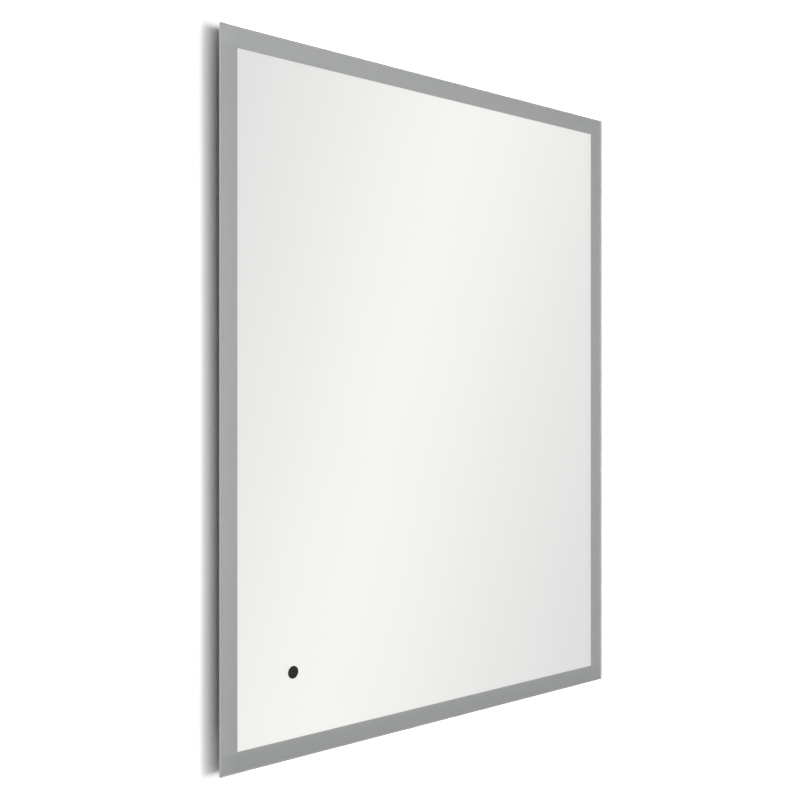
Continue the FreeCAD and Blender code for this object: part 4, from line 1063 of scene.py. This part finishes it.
def make_bumpers():
    """Ribbed rubber buttons with a dished face, which rest on the wall."""
    low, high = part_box("wall_bumpers")
    height = high.y - low.y
    radius = (high.z - low.z) / 2
    shares = bumper_shares
    rib, edge, rim = (radius * shares[word] for word in ("rib", "round", "dish rim"))
    profile = [(0, 0), (radius - rib, 0), (radius, rib)]
    for step in range(bumper_ribs):
        start = height * (shares["first rib"] + shares["rib step"] * step)
        profile += [(radius, start), (radius - rib, start + rib), (radius - rib, start + 2 * rib),
                    (radius, start + 3 * rib)]
    profile += arc(radius - edge, height - edge, edge, 0, 90, 5)
    profile += arc(radius * shares["dish"], height + radius * shares["rim rise"], rim, -20, -90, 3)
    profile += [(0, height - radius * shares["dish depth"])]
    mesh = mesh_from("bumper", lambda work: turned(work, profile))
    smooth_by_angle(mesh)
    points = [(side * (high.x - radius), low.y, (low.z + high.z) / 2) for side in (-1, 1)]
    put_copies("rubber_bumpers", mesh, points, "wall_bumpers", "black_rubber")


def make_grommet():
    """A rubber grommet with round lips, which grips the edge of the access lid."""
    low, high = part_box("cable_grommet")
    lid_low, lid_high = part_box("access_lid")
    middle = (low + high) / 2
    radius = (high.x - low.x) / 2
    lip = (high.y - lid_high.y) / 2
    neck = radius * grommet_neck_share
    bore = radius * grommet_bore_share
    profile = arc(radius - lip, low.y + lip, lip, -90, 90, 8) + [(neck, lid_low.y), (neck, lid_high.y)]
    profile += arc(radius - lip, high.y - lip, lip, -90, 90, 8)
    profile += arc(bore + lip, high.y - lip, lip, 90, 180, 5)
    profile += arc(bore + lip, low.y + lip, lip, 180, 270, 5)
    mesh = mesh_from("rubber_grommet", lambda work: turned(work, profile, grommet_segments))
    mesh.transform(Matrix.Translation((middle.x, 0, middle.z)))
    smooth_by_angle(mesh)
    seat("rubber_grommet", mesh, "mirror", "cable_grommet", "black_rubber")


# Light rows

def led_cup():
    """One package that faces +Z: a white cup with its corners eased and phosphor in a round well."""
    wide, deep, high = led_size.x / 2, led_size.y / 2, led_size.z
    edge, well = high * led_shares["eased edge"], deep * led_shares["well"]
    around = ((1, 0), (1, 1), (0, 1), (-1, 1), (-1, 0), (-1, -1), (0, -1), (1, -1))
    rings = [[(x * (wide - inset), y * (deep - inset), z) for x, y in around]
             for inset, z in ((0, -high / 2), (0, high / 2 - edge), (edge, high / 2))]
    for radius, z in ((well, high / 2),
                      (well * led_shares["well floor"], high / 2 - high * led_shares["well depth"])):
        rings.append([(radius * x / math.hypot(x, y), radius * y / math.hypot(x, y), z)
                      for x, y in around])
    mesh = mesh_from("led_cup", lambda work: lofted(work, *rings))
    phosphor = [float(face.normal.z > 0.5 and face.center.length < high) for face in mesh.polygons]
    mesh.attributes.new("phosphor", "FLOAT", "FACE").data.foreach_set("value", phosphor)
    return mesh


def make_leds():
    """The packages of the four strips, each facing away from the frame."""
    low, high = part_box("led_packages")
    half = led_size.z / 2
    middle = (low + high) / 2
    points, turns = [], []
    for node, turn in (("led_strip_top", 0), ("led_strip_right", 90), ("led_strip_bottom", 180),
                       ("led_strip_left", -90)):
        strip_low, strip_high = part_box(node)
        level = turn in (0, 180)
        span = strip_high.x - strip_low.x if level else strip_high.z - strip_low.z
        count = int(span / led_pitch)
        centre = (strip_low + strip_high) / 2
        for index in range(count):
            along = (index - (count - 1) / 2) * led_pitch
            if level:
                points.append((centre.x + along, middle.y, high.z - half if turn == 0 else low.z + half))
            else:
                points.append((high.x - half if turn == 90 else low.x + half, middle.y, centre.z + along))
            turns.append(math.radians(turn))
    put_copies("led_cups", led_cup(), points, "led_packages", "led_yellow", turns)


# Back cover

def make_cover():
    """The pressed cover, with a row of vent slots above the driver and one below it."""
    low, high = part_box("back_cover")
    driver_low, driver_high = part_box("driver_case")
    wide, tall = vent_size / 2
    ends = arc(0, tall - wide, wide, 0, 180, 8) + arc(0, wide - tall, wide, 180, 360, 8)
    depth = high.y - low.y
    rings = [[(x, y, z) for x, z in ends] for y in (-depth, depth)]
    vent = new_piece("vent", mesh_from("vent", lambda work: lofted(work, *rings)))
    offset = vent_gap_to_driver + tall
    points = [((index - (vents_in_row - 1) / 2) * vent_pitch, (low.y + high.y) / 2, z)
              for z in (driver_low.z - offset, driver_high.z + offset) for index in range(vents_in_row)]
    vents = grown("vents", points_mesh("vent_points", points), trees["placed_copies"], "painted_sheet",
                  Shape=vent)
    bpy.data.objects.remove(vent)
    work = bmesh.new()
    work.from_mesh(nodes["back_cover"].data)
    bmesh.ops.remove_doubles(work, verts=work.verts, dist=merge_distance)
    plain = bpy.data.meshes.new("plain_cover")
    work.to_mesh(plain)
    work.free()
    seat("vented_cover", cut_away("vented_cover", plain, vents), "mirror", "back_cover", "painted_sheet")


trees = {"placed_copies": placed_copies(), "threaded_shank": threaded_shank()}
set_camera()
set_stage()
set_world()
set_lamps()
dress_nodes()
make_skins()
make_screws()
make_adjusters()
make_bumpers()
make_grommet()
make_leds()
make_cover()

scene.view_settings.view_transform = "Standard"
